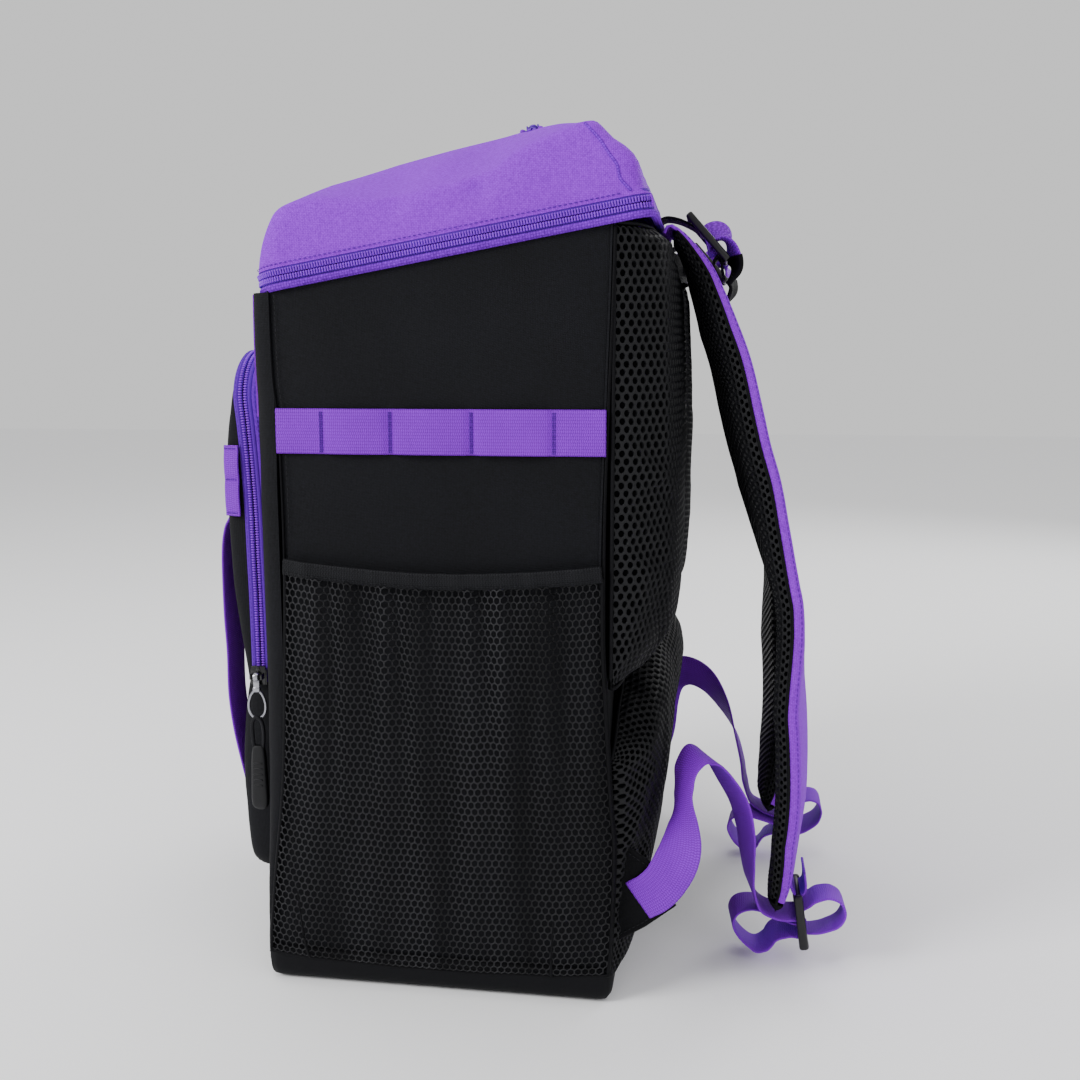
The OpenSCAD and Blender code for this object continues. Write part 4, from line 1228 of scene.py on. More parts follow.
# ------------------------------------------------------------------ side webbing, tacked into loops
tack = [-63.5, -24.6, 20.1, 65.0]
wy, wx = [-89.4], [0.0]
for a, b in [(-89, tack[0])]:
    wy += [-80, tack[0] - 1.5]
    wx += [0.0, 0.0]
for a, b in zip(tack[:-1], tack[1:]):
    wy += [a + 1.5, a + 6, (a + b) / 2, b - 6, b - 1.5]
    wx += [0.0, 1.5, 2.1, 1.4, 0.0]
wy += [tack[-1] + 1.5, 80, 92.6]
wx += [0.0, 0.0, 0.0]
path = np.stack([151.05 + np.array(wx), np.array(wy), np.full(len(wy), 322.8)], 1)
V, F, uv, _l = ribbon(path, (0, 0, 1), 24.8, 1.5, n=150)
mk2("side_web", V, F, "bag", "purple_webbing", mat_web, ("side_webbing_",), uv, sharp=0)
parts = []
for y in tack:
    zz_ = np.linspace(311.3, 334.3, 30)
    for dy in (-0.55, 0.55):
        parts.append(stitches(np.stack([152.0 + 0 * zz_, y + dy + 0 * zz_, zz_], 1), (1, 0, 0), pitch=1.25, length=1.15, w=0.7, lift=0.0))
V, F, _ = join(*parts)
mk2("side_web_tacks", V, F, "bag", "purple_webbing", mat_thread_d, sharp=0)


# ------------------------------------------------------------------ side mesh pockets
PLEATS = [(-67, 1.5), (-49, 1.2), (-29, 1.7), (-9, 1.3), (18.7, 1.6), (35.4, 1.3), (60.2, 1.7)]


def net_surface(u, v):
    u, v = np.clip(np.asarray(u, float), 0, 1), np.clip(np.asarray(v, float), 0, 1)
    z = 18.2 + (245.0 - 18.2) * v - 6.0 * v**2 * np.sin(pi * u)
    z = z - (1 - v) * 4.5 * np.sin(pi * u) ** 0.7
    y = ySf(z) + 0.8 + (yBk(z) - ySf(z) - 1.6) * u
    sd = np.minimum(np.minimum(u, 1 - u) / 0.13, 1)
    q = np.sqrt(np.clip(1 - (1 - sd) ** 2, 0, 1))
    low = np.sqrt(np.clip(1 - (1 - np.clip(v / 0.1, 0, 1)) ** 2, 0, 1))
    x = 151.0 + (5.0 - 1.2 * v + 1.2 * np.sin(pi * v)) * q * low
    for c, a in PLEATS:
        cc = c * (1 + 0.10 * (1 - v))
        wd = 3.2 + 10.0 * (1 - v)
        x = x + 1.7 * a * np.exp(-(((y - cc) / wd) ** 2)) * (0.3 + 1.0 * v**1.2) * q * low
        x = x - 2.0 * a * np.exp(-(((y - cc - wd * 1.4) / (wd * 0.8)) ** 2)) * (0.15 + v**1.5) * q
    x = x + 0.8 * smooth_noise(y / 45 + 0.15 * z / 100, z / 150, 51) * q * low
    return np.stack([np.clip(x, 150.6, 159.5), y, z], -1)


V, F, _ = hexnet(net_surface, 184.0, 231.0, p=3.7, sw=0.86, st=0.7, stretch=1.2)
mk2("pocket_net", V, F, "bag", "pocket_mesh", mat_net_painted_folds, ("mesh_pocket_",), sharp=0)
# elastic band along the pocket's mouth, with a row of stitches above and below it
us = np.linspace(0, 1, 90)
ely, elz = ySf(248) + 0.6 + (yBk(248) - ySf(248) - 1.2) * us, 247.6 - 5.6 * np.sin(pi * us)
xe = net_surface(us, np.ones(90))[:, 0]
xe = np.convolve(np.pad(xe, 4, mode="edge"), np.ones(9) / 9, "valid") + 0.7 + 0.8 * np.sin(pi * us)
path = np.stack([xe, ely, elz], 1)
V, F, uv, _l = ribbon(path, (0.05, 0, 1), 9.2, 1.6, n=160, crown=0.5)
mk2("pocket_band", V, F, "bag", "elastic", mat_elastic, ("pocket_elastic_",), uv, sharp=0)
parts = []
for dz in (-2.9, 3.0):
    parts.append(stitches(path + np.array([1.3, 0, dz]), (1, 0, 0), pitch=2.6, length=1.8, w=0.5, lift=0.0))
V, F, _ = join(*parts)
mk2("pocket_band_stitches", V, F, "bag", "elastic", mat_thread_b, sharp=0)
vs = np.linspace(0, 1, 60)
seam = np.concatenate([net_surface(np.zeros(60), vs[::-1]), net_surface(np.linspace(0, 1, 80), np.zeros(80)), net_surface(np.ones(60), vs)])
V, F, uv = tube(seam + np.array([0.1, 0, 0]), 1.25, k=7, n=260)
mk2("pocket_binding", V, F, "bag", "black_fabric", mat_bind, (), uv, sharp=0)
for j, (a, b) in enumerate((((-83, 60), (-78, 19)), ((66, 54), (64, 17)))):
    ys_, zs_ = np.linspace(a[0], b[0], 20), np.linspace(a[1], b[1], 20)
    u_ = (ys_ - ySf(zs_) - 0.8) / (yBk(zs_) - ySf(zs_) - 1.6)
    v_ = (zs_ - 18.2) / 226.8
    V, F, uv = tube(net_surface(u_, v_) + np.array([0.5, 0, 0]), np.linspace(0.3, 0.9, 20), k=6)
    mk2(f"pocket_tuck_{j}", V, F, "bag", "pocket_mesh", mat_bind, (), uv, sharp=0)

# ------------------------------------------------------------------ wings that carry the lower strap webbing
wo = np.array([[97, 33], [116, 44.6], [133.4, 58.4], [130.6, 66], [118, 84], [97, 98]], float)
cen_ = np.array([108.0, 66.0])
ring_ = []
q = np.concatenate([wo, wo[:1]])
s_ = np.concatenate([[0], np.cumsum(np.linalg.norm(np.diff(q, axis=0), axis=1))])
x_ = np.linspace(0, s_[-1], 97)[:-1]
ring_ = np.stack([np.interp(x_, s_, q[:, k]) for k in range(2)], 1)
V, F = [], []
for sx, h in ((1, 1.0), (-1, -1.0)):
    o = len(V)
    levels = [(1.0, 0.35), (0.985, 0.85), (0.94, 1.15), (0.9, 0.95), (0.6, 1.3), (0.25, 1.5)]
    for k, w_ in levels:
        for p_ in ring_:
            y, z = cen_ + (p_ - cen_) * k
            V.append([142.3 + h * w_ + 0.25 * float(smooth_noise(y / 30, z / 30, 61)), y, z])
    V.append([142.3 + h * 1.5, cen_[0], cen_[1]])
    n_ = len(ring_)
    for k in range(len(levels) - 1):
        for j in range(n_):
            a, b, c, d = o + k * n_ + j, o + k * n_ + (j + 1) % n_, o + (k + 1) * n_ + (j + 1) % n_, o + (k + 1) * n_ + j
            F.append([a, b, c, d] if h > 0 else [d, c, b, a])
    k = len(levels) - 1
    for j in range(n_):
        a, b = o + k * n_ + j, o + k * n_ + (j + 1) % n_
        F.append([a, b, len(V) - 1] if h > 0 else [b, a, len(V) - 1])
o2 = len(V) // 2
for j in range(n_):
    F.append([(j + 1) % n_, j, o2 + j, o2 + (j + 1) % n_])
V = np.array(V)
mk("wing_cloth_right", V, F, "bag", "black_fabric", mat_black2, ("wing_right",), np.stack([V[:, 1], V[:, 2]], 1), sharp=0)
# the left wing is folded in behind the lumbar pad
fold = np.stack([-V[:, 0], 99 + (V[:, 1] - 99) * 0.45, V[:, 2]], 1)
mk("wing_cloth_left", fold, [f[::-1] for f in F], "bag", "black_fabric", mat_black2, ("wing_left",), np.stack([V[:, 1], V[:, 2]], 1), sharp=0)
ins = cen_ + (ring_ - cen_) * 0.86
ins = ins[(ins[:, 0] > 101)]
pts = np.stack([143.7 + 0 * ins[:, 0], ins[:, 0], ins[:, 1]], 1)
k = int(np.argmax(np.linalg.norm(np.diff(pts, axis=0), axis=1)))
pts = np.roll(pts, -(k + 1), 0)
V, F, _ = stitches(pts, (1, 0, 0), pitch=2.8, length=2.0, w=0.5)
mk("wing_stitches_right", V, F, "bag", "black_fabric", mat_thread_b, sharp=0)
V = np.array(V)
mk("wing_stitches_left", np.stack([-V[:, 0], 99 + (V[:, 1] - 99) * 0.45, V[:, 2]], 1), [f[::-1] for f in F], "bag", "black_fabric", mat_thread_b, sharp=0)

# ------------------------------------------------------------------ front pocket
yz_ = curve([40, 172, 220, 246, 270, 287, 307, 325, 342, 368], [-113.3, -113.3, -113.6, -114.1, -114.5, -115.1, -116.2, -117.5, -119.0, -119.3])
RC, PW, PT = 30.0, 125.0, 367.0


def half_w(z):
    return np.where(z > PT - RC, PW - RC + np.sqrt(np.clip(RC**2 - (z - (PT - RC)) ** 2, 0, None)), PW)


def outline(off, z0, n=220):
    """From the right at z0, up over the top, down on the left; off outward. Points (x, z)."""
    r = RC + off
    pts = [(PW + off, z0)]
    pts += [(PW - RC + r * math.cos(a), PT - RC + r * math.sin(a)) for a in np.linspace(0, pi / 2, 24)]
    pts += [(-(PW - RC) - r * math.sin(a), PT - RC + r * math.cos(a)) for a in np.linspace(0, pi / 2, 24)]
    pts += [(-PW - off, z0)]
    p = np.array(pts)
    s = np.concatenate([[0], np.cumsum(np.linalg.norm(np.diff(p, axis=0), axis=1))])
    x = np.linspace(0, s[-1], n)
    return np.stack([np.interp(x, s, p[:, k]) for k in range(2)], 1)


def pocket_strip(name, sec, z0, body, slot, mat, reps, t=1.0, n=14):
    """A strip round the pocket's mouth; sec is (outward, depth from the zip's line toward the bag)."""
    rows = []
    for off, d in catmull(np.array(sec, float), n):
        o = outline(off, z0)
        y = yz_(o[:, 1]) + d
        rows.append(np.stack([o[:, 0], np.minimum(y, -103.4), o[:, 1]], 1))
    return panel(name, np.stack(rows, 1), t, body, slot, mat, reps, out=([0, -112, 210],))


pocket_strip("gusset_cloth", [(-2.2, 13.0), (-0.3, 10.4), (0.5, 8.4), (0.7, 6.2), (-0.5, 4.0)], 173.0, "bag", "purple_fabric", mat_purple_d, ("pocket_gusset",), 1.1)
pocket_strip("gusset_tape", [(-0.6, 5.6), (0.6, 4.9), (0.9, 3.6), (0.35, 2.6), (-0.2, 1.4), (-0.6, 0.5)], 174.0, "bag", "zip_tape", mat_tape, ("gusset_zip_tape",), 0.8)
pocket_strip("flap_tape", [(-0.6, -0.5), (-0.2, -1.4), (0.35, -2.6), (0.9, -3.4), (0.6, -4.9), (-0.8, -6.2)], 176.0, "flap", "zip_tape", mat_tape, ("flap_zip_tape",), 0.8)
for nm, d, body, ph_ in (("gusset_coil", 1.55, "bag", 0.0), ("flap_coil", -1.55, "flap", 0.5)):
    o = outline(0.15, 177.0 if body == "flap" else 175.0, 500)
    line = np.stack([o[:, 0], yz_(o[:, 1]) + d, o[:, 1]], 1)
    t = unitv(np.gradient(line, axis=0))
    N = unitv(np.cross(t, np.array([0, 1.0, 0])))
    N = N * np.sign((N * (line - np.array([0, -112, 250]))).sum(1, keepdims=True))
    P_, T_, S_, N_ = along(line, N, 1.5, 1.0, phase=ph_)
    a = stamp(P_ + N_ * 0.5, S_, T_, N_, (2.4, 1.08, 1.4))
    mk(nm, *a[:2], body, "zip_tape", mat_coil, sharp=0)
for nm, d, off, body in (("gusset_stitches", 7.4, 0.72, "bag"), ("flap_stitches", -4.6, 0.62, "flap")):
    o = outline(off, 178.0, 300)
    line = np.stack([o[:, 0], yz_(o[:, 1]) + d, o[:, 1]], 1)
    t = unitv(np.gradient(line, axis=0))
    N = unitv(np.cross(t, np.array([0, 1.0, 0])))
    N = N * np.sign((N * (line - np.array([0, -112, 250]))).sum(1, keepdims=True))
    V, F, _ = stitches(line, N, pitch=2.8, length=2.0, w=0.45, lift=0.1)
    mk(nm, V, F, body, "zip_tape", mat_thread_d, sharp=0)

flap_y = curve([174, 194, 215, 244, 275, 298, 322, 333, 345, 356, 363, 367.2], [-124, -127.5, -130.5, -133, -134.6, -134.4, -132, -129.6, -126.6, -123.8, -121.6, -119.5])


def flap_surface(a, z):
    x = a * (half_w(z) - 0.6)
    d = (1 - np.abs(a)) * half_w(z)
    top = np.clip((PT - z) / 30, 0, 1)
    r = 9.0
    q = np.where(d < r, np.sqrt(np.clip(1 - (1 - d / r) ** 2, 0, 1)), 1.0)
    e = yz_(z) - 5.6
    prof = flap_y(z)
    y = e + (np.minimum(prof, e) - e) * (0.93 * q + 0.07 * (1 - np.abs(a) ** 3))
    y = y - 0.7 * smooth_noise(x / 80, z / 70, 71) * q * top - 5.2 * (1 - np.clip(np.abs(x) / 96, 0, 1) ** 2.5) * np.clip((335 - z) / 60, 0, 1) ** 0.7
    y = np.maximum(y, -124.0 - 1.0 * np.clip(z - 174.0, 0, None))
    return np.stack([x, y, z + 0 * x], -1)


av = np.concatenate([-np.cos(np.linspace(0, pi / 2, 36)), np.cos(np.linspace(pi / 2, 0, 36))[1:]])
zv = np.concatenate([np.linspace(174.4, 335, 44), 367 - 32 * np.linspace(1, 0, 26)[1:] ** 1.8])
aa, zz = np.meshgrid(av, zv, indexing="ij")
panel("flap_cloth", flap_surface(aa, zz), 1.4, "flap", "black_fabric", mat_black, ("pocket_flap",), out=(0, -1, 0))

low_y = curve([54, 57, 66, 80, 103, 125, 143, 160, 174], [-119.5, -124.4, -127.0, -128.6, -130, -129.8, -129, -127, -124])


def lower_surface(a, v):
    z = 54.3 + (173.9 - 54.3) * v
    rb = 12.0
    hw_ = np.where(z < 54.3 + rb, PW - rb + np.sqrt(np.clip(rb**2 - (rb - (z - 54.3)) ** 2, 0, None)), PW)
    d = (1 - np.abs(a)) * hw_
    x = a * hw_
    r = 9.0
    q = np.where(d < r, np.sqrt(np.clip(1 - (1 - d / r) ** 2, 0, 1)), 1.0)
    db = z - 54.3
    qb = np.where(db < 8, np.sqrt(np.clip(1 - (1 - db / 8) ** 2, 0, 1)), 1.0)
    y = -103.8 + (low_y(np.maximum(z, 60)) + 103.8) * np.minimum(q, qb) * (0.97 + 0.03 * (1 - np.abs(a) ** 3))
    y = y - 0.8 * smooth_noise(x / 80, z / 60, 73) * q * qb * np.clip((1 - v) * 6, 0, 1) - 5.2 * (1 - np.clip(np.abs(x) / 96, 0, 1) ** 2.5) * qb * np.clip((z - 54) / 70, 0, 1)
    return np.stack([x, y, z + 0 * x], -1)


vv_ = np.concatenate([0.075 * np.linspace(0, 1, 16) ** 2, np.linspace(0.075, 1, 36)[1:]])
aa, vv = np.meshgrid(av, vv_, indexing="ij")
panel("pocket_lower_cloth", lower_surface(aa, vv), 1.4, "bag", "black_fabric", mat_black, ("pocket_lower",), out=(0, -1, 0))
# binding at the pocket's foot and sides
sd = [lower_surface(np.array([1.0]), np.array([v]))[0] for v in np.linspace(1, 0.001, 40)]
bt = [lower_surface(np.array([a]), np.array([0.0]))[0] for a in np.linspace(1, 0, 30)[1:]]
line = np.array(sd + bt)
V, F, uv = tube(np.concatenate([line, (line * np.array([-1, 1, 1]))[::-1][1:]]), 1.0, k=7, n=240)
mk("pocket_lower_seam", V, F, "bag", "black_fabric", mat_black2, (), uv, sharp=0)
# points along the fold where the flap turns down; nothing is made from them
xs = np.linspace(-118, 118, 80)
line = np.stack([xs, -124.0 - 0.25 - 0.0 * xs, 174.2 + 0 * xs], 1)

# short webbing loops on the flap's sides
lz = [313.0, 309.5, 304, 297, 293.2, 288, 280, 275.5, 272.0]
lx = [0.3, 0.5, 1.9, 1.5, 0.4, 1.8, 1.6, 0.5, 0.3]
path = np.stack([PW + 0.5 + np.array(lx) * 0.5, np.full(9, -126.9), np.array(lz)], 1)
V, F, uv, _l = ribbon(path, (0.35, 1, 0), 10.6, 1.3, n=60)
V2 = V * np.array([-1, 1, 1])
V, F, uv = join((V, F, uv), (V2, [f[::-1] for f in F], uv))
mk("flap_loop_web", V, F, "flap", "purple_webbing", mat_web, ("front_loop_webbing",), uv, sharp=0)
parts = []
for z in (311.2, 293.2, 273.8):
    y_ = np.linspace(-131.3, -122.6, 14)
    for sx in (1, -1):
        parts.append(stitches(np.stack([sx * (PW + 1.75 + 0 * y_ + (y_ + 126.9) * 0.3), y_, z + 0 * y_], 1), (sx, 0, 0), pitch=1.4, length=1.15, w=0.6, lift=0.1))
V, F, _ = join(*parts)
mk("flap_loop_tacks", V, F, "flap", "purple_webbing", mat_thread_d, sharp=0)

# carrying webbing down the front, sewn at both ends
cp = [(-135.4, 313), (-137.6, 300), (-136.6, 287), (-135.6, 272), (-140, 262), (-142.2, 246), (-142.4, 212), (-141.4, 186), (-141.4, 160), (-139, 138), (-135.0, 118), (-131.4, 102)]
V, F, uv, _l = ribbon(np.array([(96.5, y, z) for y, z in cp]), (1, 0, 0), 25.0, 1.6, n=130)
for side, sx in (("right", 1), ("left", -1)):
    W = V * np.array([sx, 1, 1])
    mk(f"carry_web_{side}", W, F if sx > 0 else [f[::-1] for f in F], ("bag", "flap", (96.5 * sx, -141.5, 165), (96.5 * sx, -141.5, 188)), "purple_webbing", mat_web, ("front_carry_straps",), uv, sharp=0)
for nm, zs4, body, yo in (("flap_carry_tacks", (309.0, 289.5, 277.5, 272.2), "flap", 0), ("lower_carry_tacks", (118.5, 107.0), "bag", 0)):
    parts = []
    for z in zs4:
        y0 = float(np.interp(z, [c[1] for c in cp][::-1], [c[0] for c in cp][::-1])) - 0.95
        for x0 in (96.5, -96.5):
            x = np.linspace(x0 - 10.5, x0 + 10.5, 20)
            parts.append(stitches(np.stack([x, y0 + 0 * x, z + 0 * x], 1), (0, -1, 0), pitch=1.4, length=1.2, w=0.6, lift=0.05))
    V, F, _ = join(*parts)
    mk(nm, V, F, body, "purple_webbing", mat_thread_d, sharp=0)


# pocket slider, wire ring, cord and grip
def ps(u, v, w):
    return 126.5 + w, -113.6 + u, 178 + v


V, F, _ = moved(slider_body(10.5, 11.5), ps)
mk("pocket_slider_body", V, F, "pocket_slider", "black_metal", mat_blackmetal, ("pocket_slider",))
ang = np.linspace(0, 2 * pi, 49)[:-1]
ring = np.stack([(5.2 - 0.7 * np.sin(ang)) * np.cos(ang), -16.6 + 8.4 * np.sin(ang), 6.0 + 0 * ang], 1)
V1, F1, _ = tube(ring, 0.85, k=10, closed=True, up=(0, 0, 1))
V, F, _ = moved(join(eye_loop(), rbox((0, -7.6, 6), (4.6, 3.4, 2.6), 0.9, 3), (V1, F1)), ps)
mk("pull_wire_ring", V, F, "pocket_pull", "steel", mat_steel, ("pull_ring",))
cl = np.array([(-2.6, -44, 6.1), (-3.3, -38, 6.2), (-3.4, -31, 6.5), (-2.5, -26.3, 7.2), (0, -24.0, 7.6), (2.5, -26.3, 7.2), (3.4, -31, 6.5), (3.3, -38, 6.2), (2.6, -44, 6.1)])
cc = catmull(cl, 90)
V1, F1, U1 = tube(cc, 1.15, k=10)
P_, T_, S_, N_ = along(cc, (0, 0, 1), 1.1, 0.2)
h = stamp(P_ + N_ * 0.92 + S_ * 0.3, unitv(T_ + S_ * 0.6), unitv(S_ - T_ * 0.6), N_, (1.9, 0.55, 0.5))
h2 = stamp(P_ - N_ * 0.92 + S_ * 0.3, unitv(T_ + S_ * 0.6), unitv(S_ - T_ * 0.6), N_, (1.9, 0.55, 0.5))
V, F, _ = moved(join((V1, F1), (h[0], h[1]), (h2[0], h2[1])), ps)
mk("pull_cord_loop", V, F, "pocket_pull", "elastic", mat_thread_b, ("pull_cord",), sharp=0)
gp = catmull(np.array([(0, -41.5), (0, -44), (0, -50), (0, -60), (0, -70), (0, -77), (0, -81)], float), 40)
gw = np.interp(-gp[:, 1], [41.5, 43, 46, 52, 66, 74, 78, 80, 81], [2.4, 3.6, 4.1, 4.5, 5.0, 5.3, 4.9, 3.6, 1.3])
gt = np.interp(-gp[:, 1], [41.5, 43, 50, 66, 76, 79, 81], [1.6, 2.1, 2.5, 2.5, 2.4, 1.8, 0.6])
ang = np.arange(32) * 2 * pi / 32
sx_, sy_ = np.sign(np.cos(ang)) * np.abs(np.cos(ang)) ** 0.62, np.sign(np.sin(ang)) * np.abs(np.sin(ang)) ** 0.62
V = np.stack([gw[:, None] * sx_[None], np.repeat(gp[:, 1:2], 32, 1), 6.0 + gt[:, None] * sy_[None]], -1).reshape(-1, 3)
idx = np.arange(40 * 32).reshape(40, 32)
F = [[idx[i, j], idx[i, (j + 1) % 32], idx[i + 1, (j + 1) % 32], idx[i + 1, j]] for i in range(39) for j in range(32)] + [list(idx[0, ::-1]), list(idx[-1])]
ribs = [rbox((0, -52 - 3.4 * i, 8.45), (5.4, 1.3, 0.7), 0.3, 1) for i in range(5)]
V, F, _ = moved(join((V, F), *ribs), ps)
mk("pull_grip_body", V, F, "pocket_pull", "black_plastic", mat_grip, ("pull_grip",))

# ------------------------------------------------------------------ yoke and grab handle
yu, yv = np.meshgrid(np.linspace(-1, 1, 80), np.linspace(0, 1, 14), indexing="ij")
yr = np.sqrt(np.clip(1 - (2 * yv - 1) ** 6, 0, 1)) * np.sqrt(np.clip(1 - np.abs(yu) ** 14, 0, 1))
P = np.stack([yu * 128, 96.6 + 17.0 * yr, 406.5 + 26.5 * yv], -1)
panel("yoke_cloth", P, 1.3, "bag", "black_fabric", mat_black, ("strap_yoke",), out=(0, 1, 0))
parts = []
for z in (410.5, 415, 425, 429.5):
    x = np.linspace(-104, 104, 60)
    parts.append(stitches(np.stack([x, 113.7 + 0 * x, z + 0 * x], 1), (0, 1, 0), pitch=2.9, length=2.1, w=0.5, lift=0.0))
V, F, _ = join(*parts)
mk("yoke_stitches", V, F, "bag", "black_fabric", mat_thread_b, sharp=0)
hp = [(-43, 114.6), (-38, 115.6), (-33, 121.5), (-26, 126.8), (-13, 129.6), (0, 130.4), (13, 129.6), (26, 126.8), (33, 121.5), (38, 115.6), (43, 114.6)]
wd = np.interp(np.linspace(0, 1, 110), [0, 0.13, 0.26, 0.5, 0.74, 0.87, 1], [20, 20, 14, 12, 14, 20, 20])
V, F, uv, _l = ribbon(np.array([(x, y, 418.0 - 2.0 * (1 - (x / 43) ** 2)) for x, y in hp]), (0, 0, 1), wd, 1.7, n=110, crown=0.0)
mk("handle_web", V, F, "bag", "black_webbing", mat_web_b, ("grab_handle",), uv, sharp=0)
hh = np.array([(x, y + 0.2, 418.0 - 2.0 * (1 - (x / 43) ** 2)) for x, y in hp[3:8]])
V, F, uv = tube(hh, np.concatenate([[2.0], np.full(38, 3.6), [2.0]]), k=14, n=40)
mk("handle_sleeve", V, F, "bag", "black_webbing", mat_black2, (), uv, sharp=0)

# ------------------------------------------------------------------ shoulder straps
sl = catmull(np.array([[118.8, 430], [121.5, 435], [127, 433], [135, 426], [146, 413], [152, 402], [161, 382], [170, 358], [180, 318], [187, 294], [192, 269], [198, 238], [204, 208], [207, 176], [210, 143], [211, 110], [209, 84], [204, 58], [198, 42]], float), 200)
st_ = unitv(np.gradient(sl, axis=0))
sn = np.stack([st_[:, 1], -st_[:, 0]], 1)
sn = sn * np.sign(sn[100, 0]) * -1
ss = np.concatenate([[0], np.cumsum(np.linalg.norm(np.diff(sl, axis=0), axis=1))])
SL = ss[-1]
thick = np.interp(ss, [0, 12, 40, 75, 120, SL - 60, SL - 15, SL], [3.8, 5.0, 9.8, 13.4, 15, 15, 13.6, 10.5])
halfw = np.interp(sl[:, 1] * 1.0, [38, 42, 46, 60, 90, 150, 445], [19.5, 21, 22.6, 25.5, 28.0, 32, 32])


tw_up = np.tan(np.radians(np.interp(ss, [0, 25, 45, 75, 170, 235], [0, 4, 8, 10, 10, 0])))
tw_lo = np.tan(np.radians(np.interp(ss, [235, 300, SL - 40, SL], [0, 8, 8, 3])))


def twist(x, k):
    """The strap's turn about its own length, as a shift in y across its width."""
    return -tw_up[k] * (112 - x) - tw_lo[k] * (x - 48)


cov, SP = [], []
cc_ = [(-1.0, 0.46), (-1.005, 0.30), (-0.985, 0.12), (-0.93, 0.02), (-0.8, 0.0), (-0.5, -0.04), (0, -0.055), (0.5, -0.04), (0.8, 0.0), (0.93, 0.02), (0.985, 0.12), (1.005, 0.30), (1.0, 0.46)]
cc_ = catmull(np.array(cc_), 41)
for k in range(len(sl)):
    w_, t_ = halfw[k], thick[k]
    x = 80 + cc_[:, 0] * w_
    dpt = cc_[:, 1] * min(t_, 15)
    dpt = dpt + 0.35 * smooth_noise(cc_[:, 0] * 0.8, np.full(41, ss[k] / 60), 81) * np.clip(1 - np.abs(cc_[:, 0]) ** 6, 0, 1)
    cov.append(np.stack([x, sl[k, 0] + sn[k, 0] * dpt + twist(x, k), sl[k, 1] + sn[k, 1] * dpt], 1))
cov = np.array(cov)
panel("strap_cloth", cov[::2], 1.3, "strap_", "purple_fabric", mat_purple, ("strap_cover_",), out=(0, 1, 0), two=True)
kk = 6
pc = catmull(np.array([(-1.0, 0.40), (-1.01, 0.55), (-0.985, 0.74), (-0.9, 0.90), (-0.72, 0.985), (-0.35, 1.01), (0, 1.015), (0.35, 1.01), (0.72, 0.985), (0.9, 0.90), (0.985, 0.74), (1.01, 0.55), (1.0, 0.40)]), 41)
inner = []
for k in range(kk, len(sl)):
    w_, t_ = halfw[k], thick[k]
    x = 80 + pc[:, 0] * w_ * 0.995
    dpt = pc[:, 1] * t_
    dpt = dpt + 0.5 * smooth_noise(pc[:, 0] * 0.8, np.full(41, ss[k] / 50), 83) * np.clip(1 - np.abs(pc[:, 0]) ** 6, 0, 1)
    inner.append(np.stack([x, sl[k, 0] + sn[k, 0] * dpt + twist(x, k), sl[k, 1] + sn[k, 1] * dpt], 1))
inner = np.array(inner)
G = inner[::3]
Sg = grid_fn(inner[::2])
Wg, Hg = SL * 0.975, 82.0
n_ = normals(G)
if outward(G, n_, (0, -1, 0)):
    n_ = -n_
# core under the strap's mesh, in the near-black material that paints shade into the holes
core = G - n_ * 1.3
nu, nv = core.shape[:2]
Qk = []
for k in range(kk, len(sl), 3):
    w_, t_ = halfw[k], thick[k]
    x = 80 + np.linspace(-1, 1, 41) * w_ * 0.94
    Qk.append(np.stack([x, sl[k, 0] + sn[k, 0] * 2.4 + twist(x, k), sl[k, 1] + sn[k, 1] * 2.4 + 0 * x], 1))
Qk = np.array(Qk)
core[..., 0] = 80 + (core[..., 0] - 80) * 0.97
core[:, 0] = (core[:, 0] * 0.5 + Qk[:, 0] * 0.5)
core[:, -1] = (core[:, -1] * 0.5 + Qk[:, -1] * 0.5)
V = np.concatenate([core.reshape(-1, 3), Qk.reshape(-1, 3)])
kN = nu * nv
fl = outward(G, normals(G), (0, -1, 0))
F = gridF(nu, nv, 0, fl) + gridF(nu, nv, kN, not fl)
idx = np.arange(kN).reshape(nu, nv)
L = list(idx[:, 0]) + list(idx[-1, 1:]) + list(idx[-2::-1, -1]) + list(idx[0, -2::-1])
for a, b in zip(L[:-1], L[1:]):
    f = [b, a, a + kN, b + kN]
    F.append(f[::-1] if fl else f)
for o in mk2("strap_core", V, F, "strap_", "spacer_mesh", mat_core_shade, ("strap_pad_",), sharp=0):
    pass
V, F, _ = spacer(Sg, Wg, Hg, p=4.9, deep=1.4, flip=-1 if outward(G, normals(G), (0, -1, 0)) else 1)
mk2("strap_mesh", V, F, "strap_", "spacer_mesh", mat_spacer, (), sharp=0)
# binding at the seams between cover and mesh, along both long edges of the strap
eR, eL = cov[:, -1] + np.array([0.1, 0, 0]), cov[:, 0] - np.array([0.1, 0, 0])
for nm, ln in (("a", eR), ("b", eL)):
    V, F, uv = tube(ln[kk:], 0.9, k=7, n=200)
    mk2(f"strap_binding_{nm}", V, F, "strap_", "black_fabric", mat_bind, (), uv, sharp=0)
# closed lower end of the strap
top_, bot_ = cov[-1][np.linspace(0, 40, 41).astype(int)], inner[-1]
rows = [top_ * (1 - v) + bot_ * v + np.array([0, -0.4, -3.8]) * math.sin(pi * v) ** 0.7 for v in np.linspace(0, 1, 9)]
P = np.stack(rows, 1)
panel("strap_end", P, 1.2, "strap_", "black_fabric", mat_black2, out=(0, -0.3, -1), two=True)
# stitch rows on the cover
for j, i in enumerate((5, 35)):
    ln = cov[8:-3, i]
    nn = np.stack([0 * ln[:, 0], -sn[8:-3, 0], -sn[8:-3, 1]], 1)
    V, F, _ = stitches(ln, nn, pitch=3.2, length=2.3, w=0.5, lift=0.15)
    mk2(f"strap_stitches_{j}", V, F, "strap_", "purple_fabric", mat_thread_d, sharp=0)


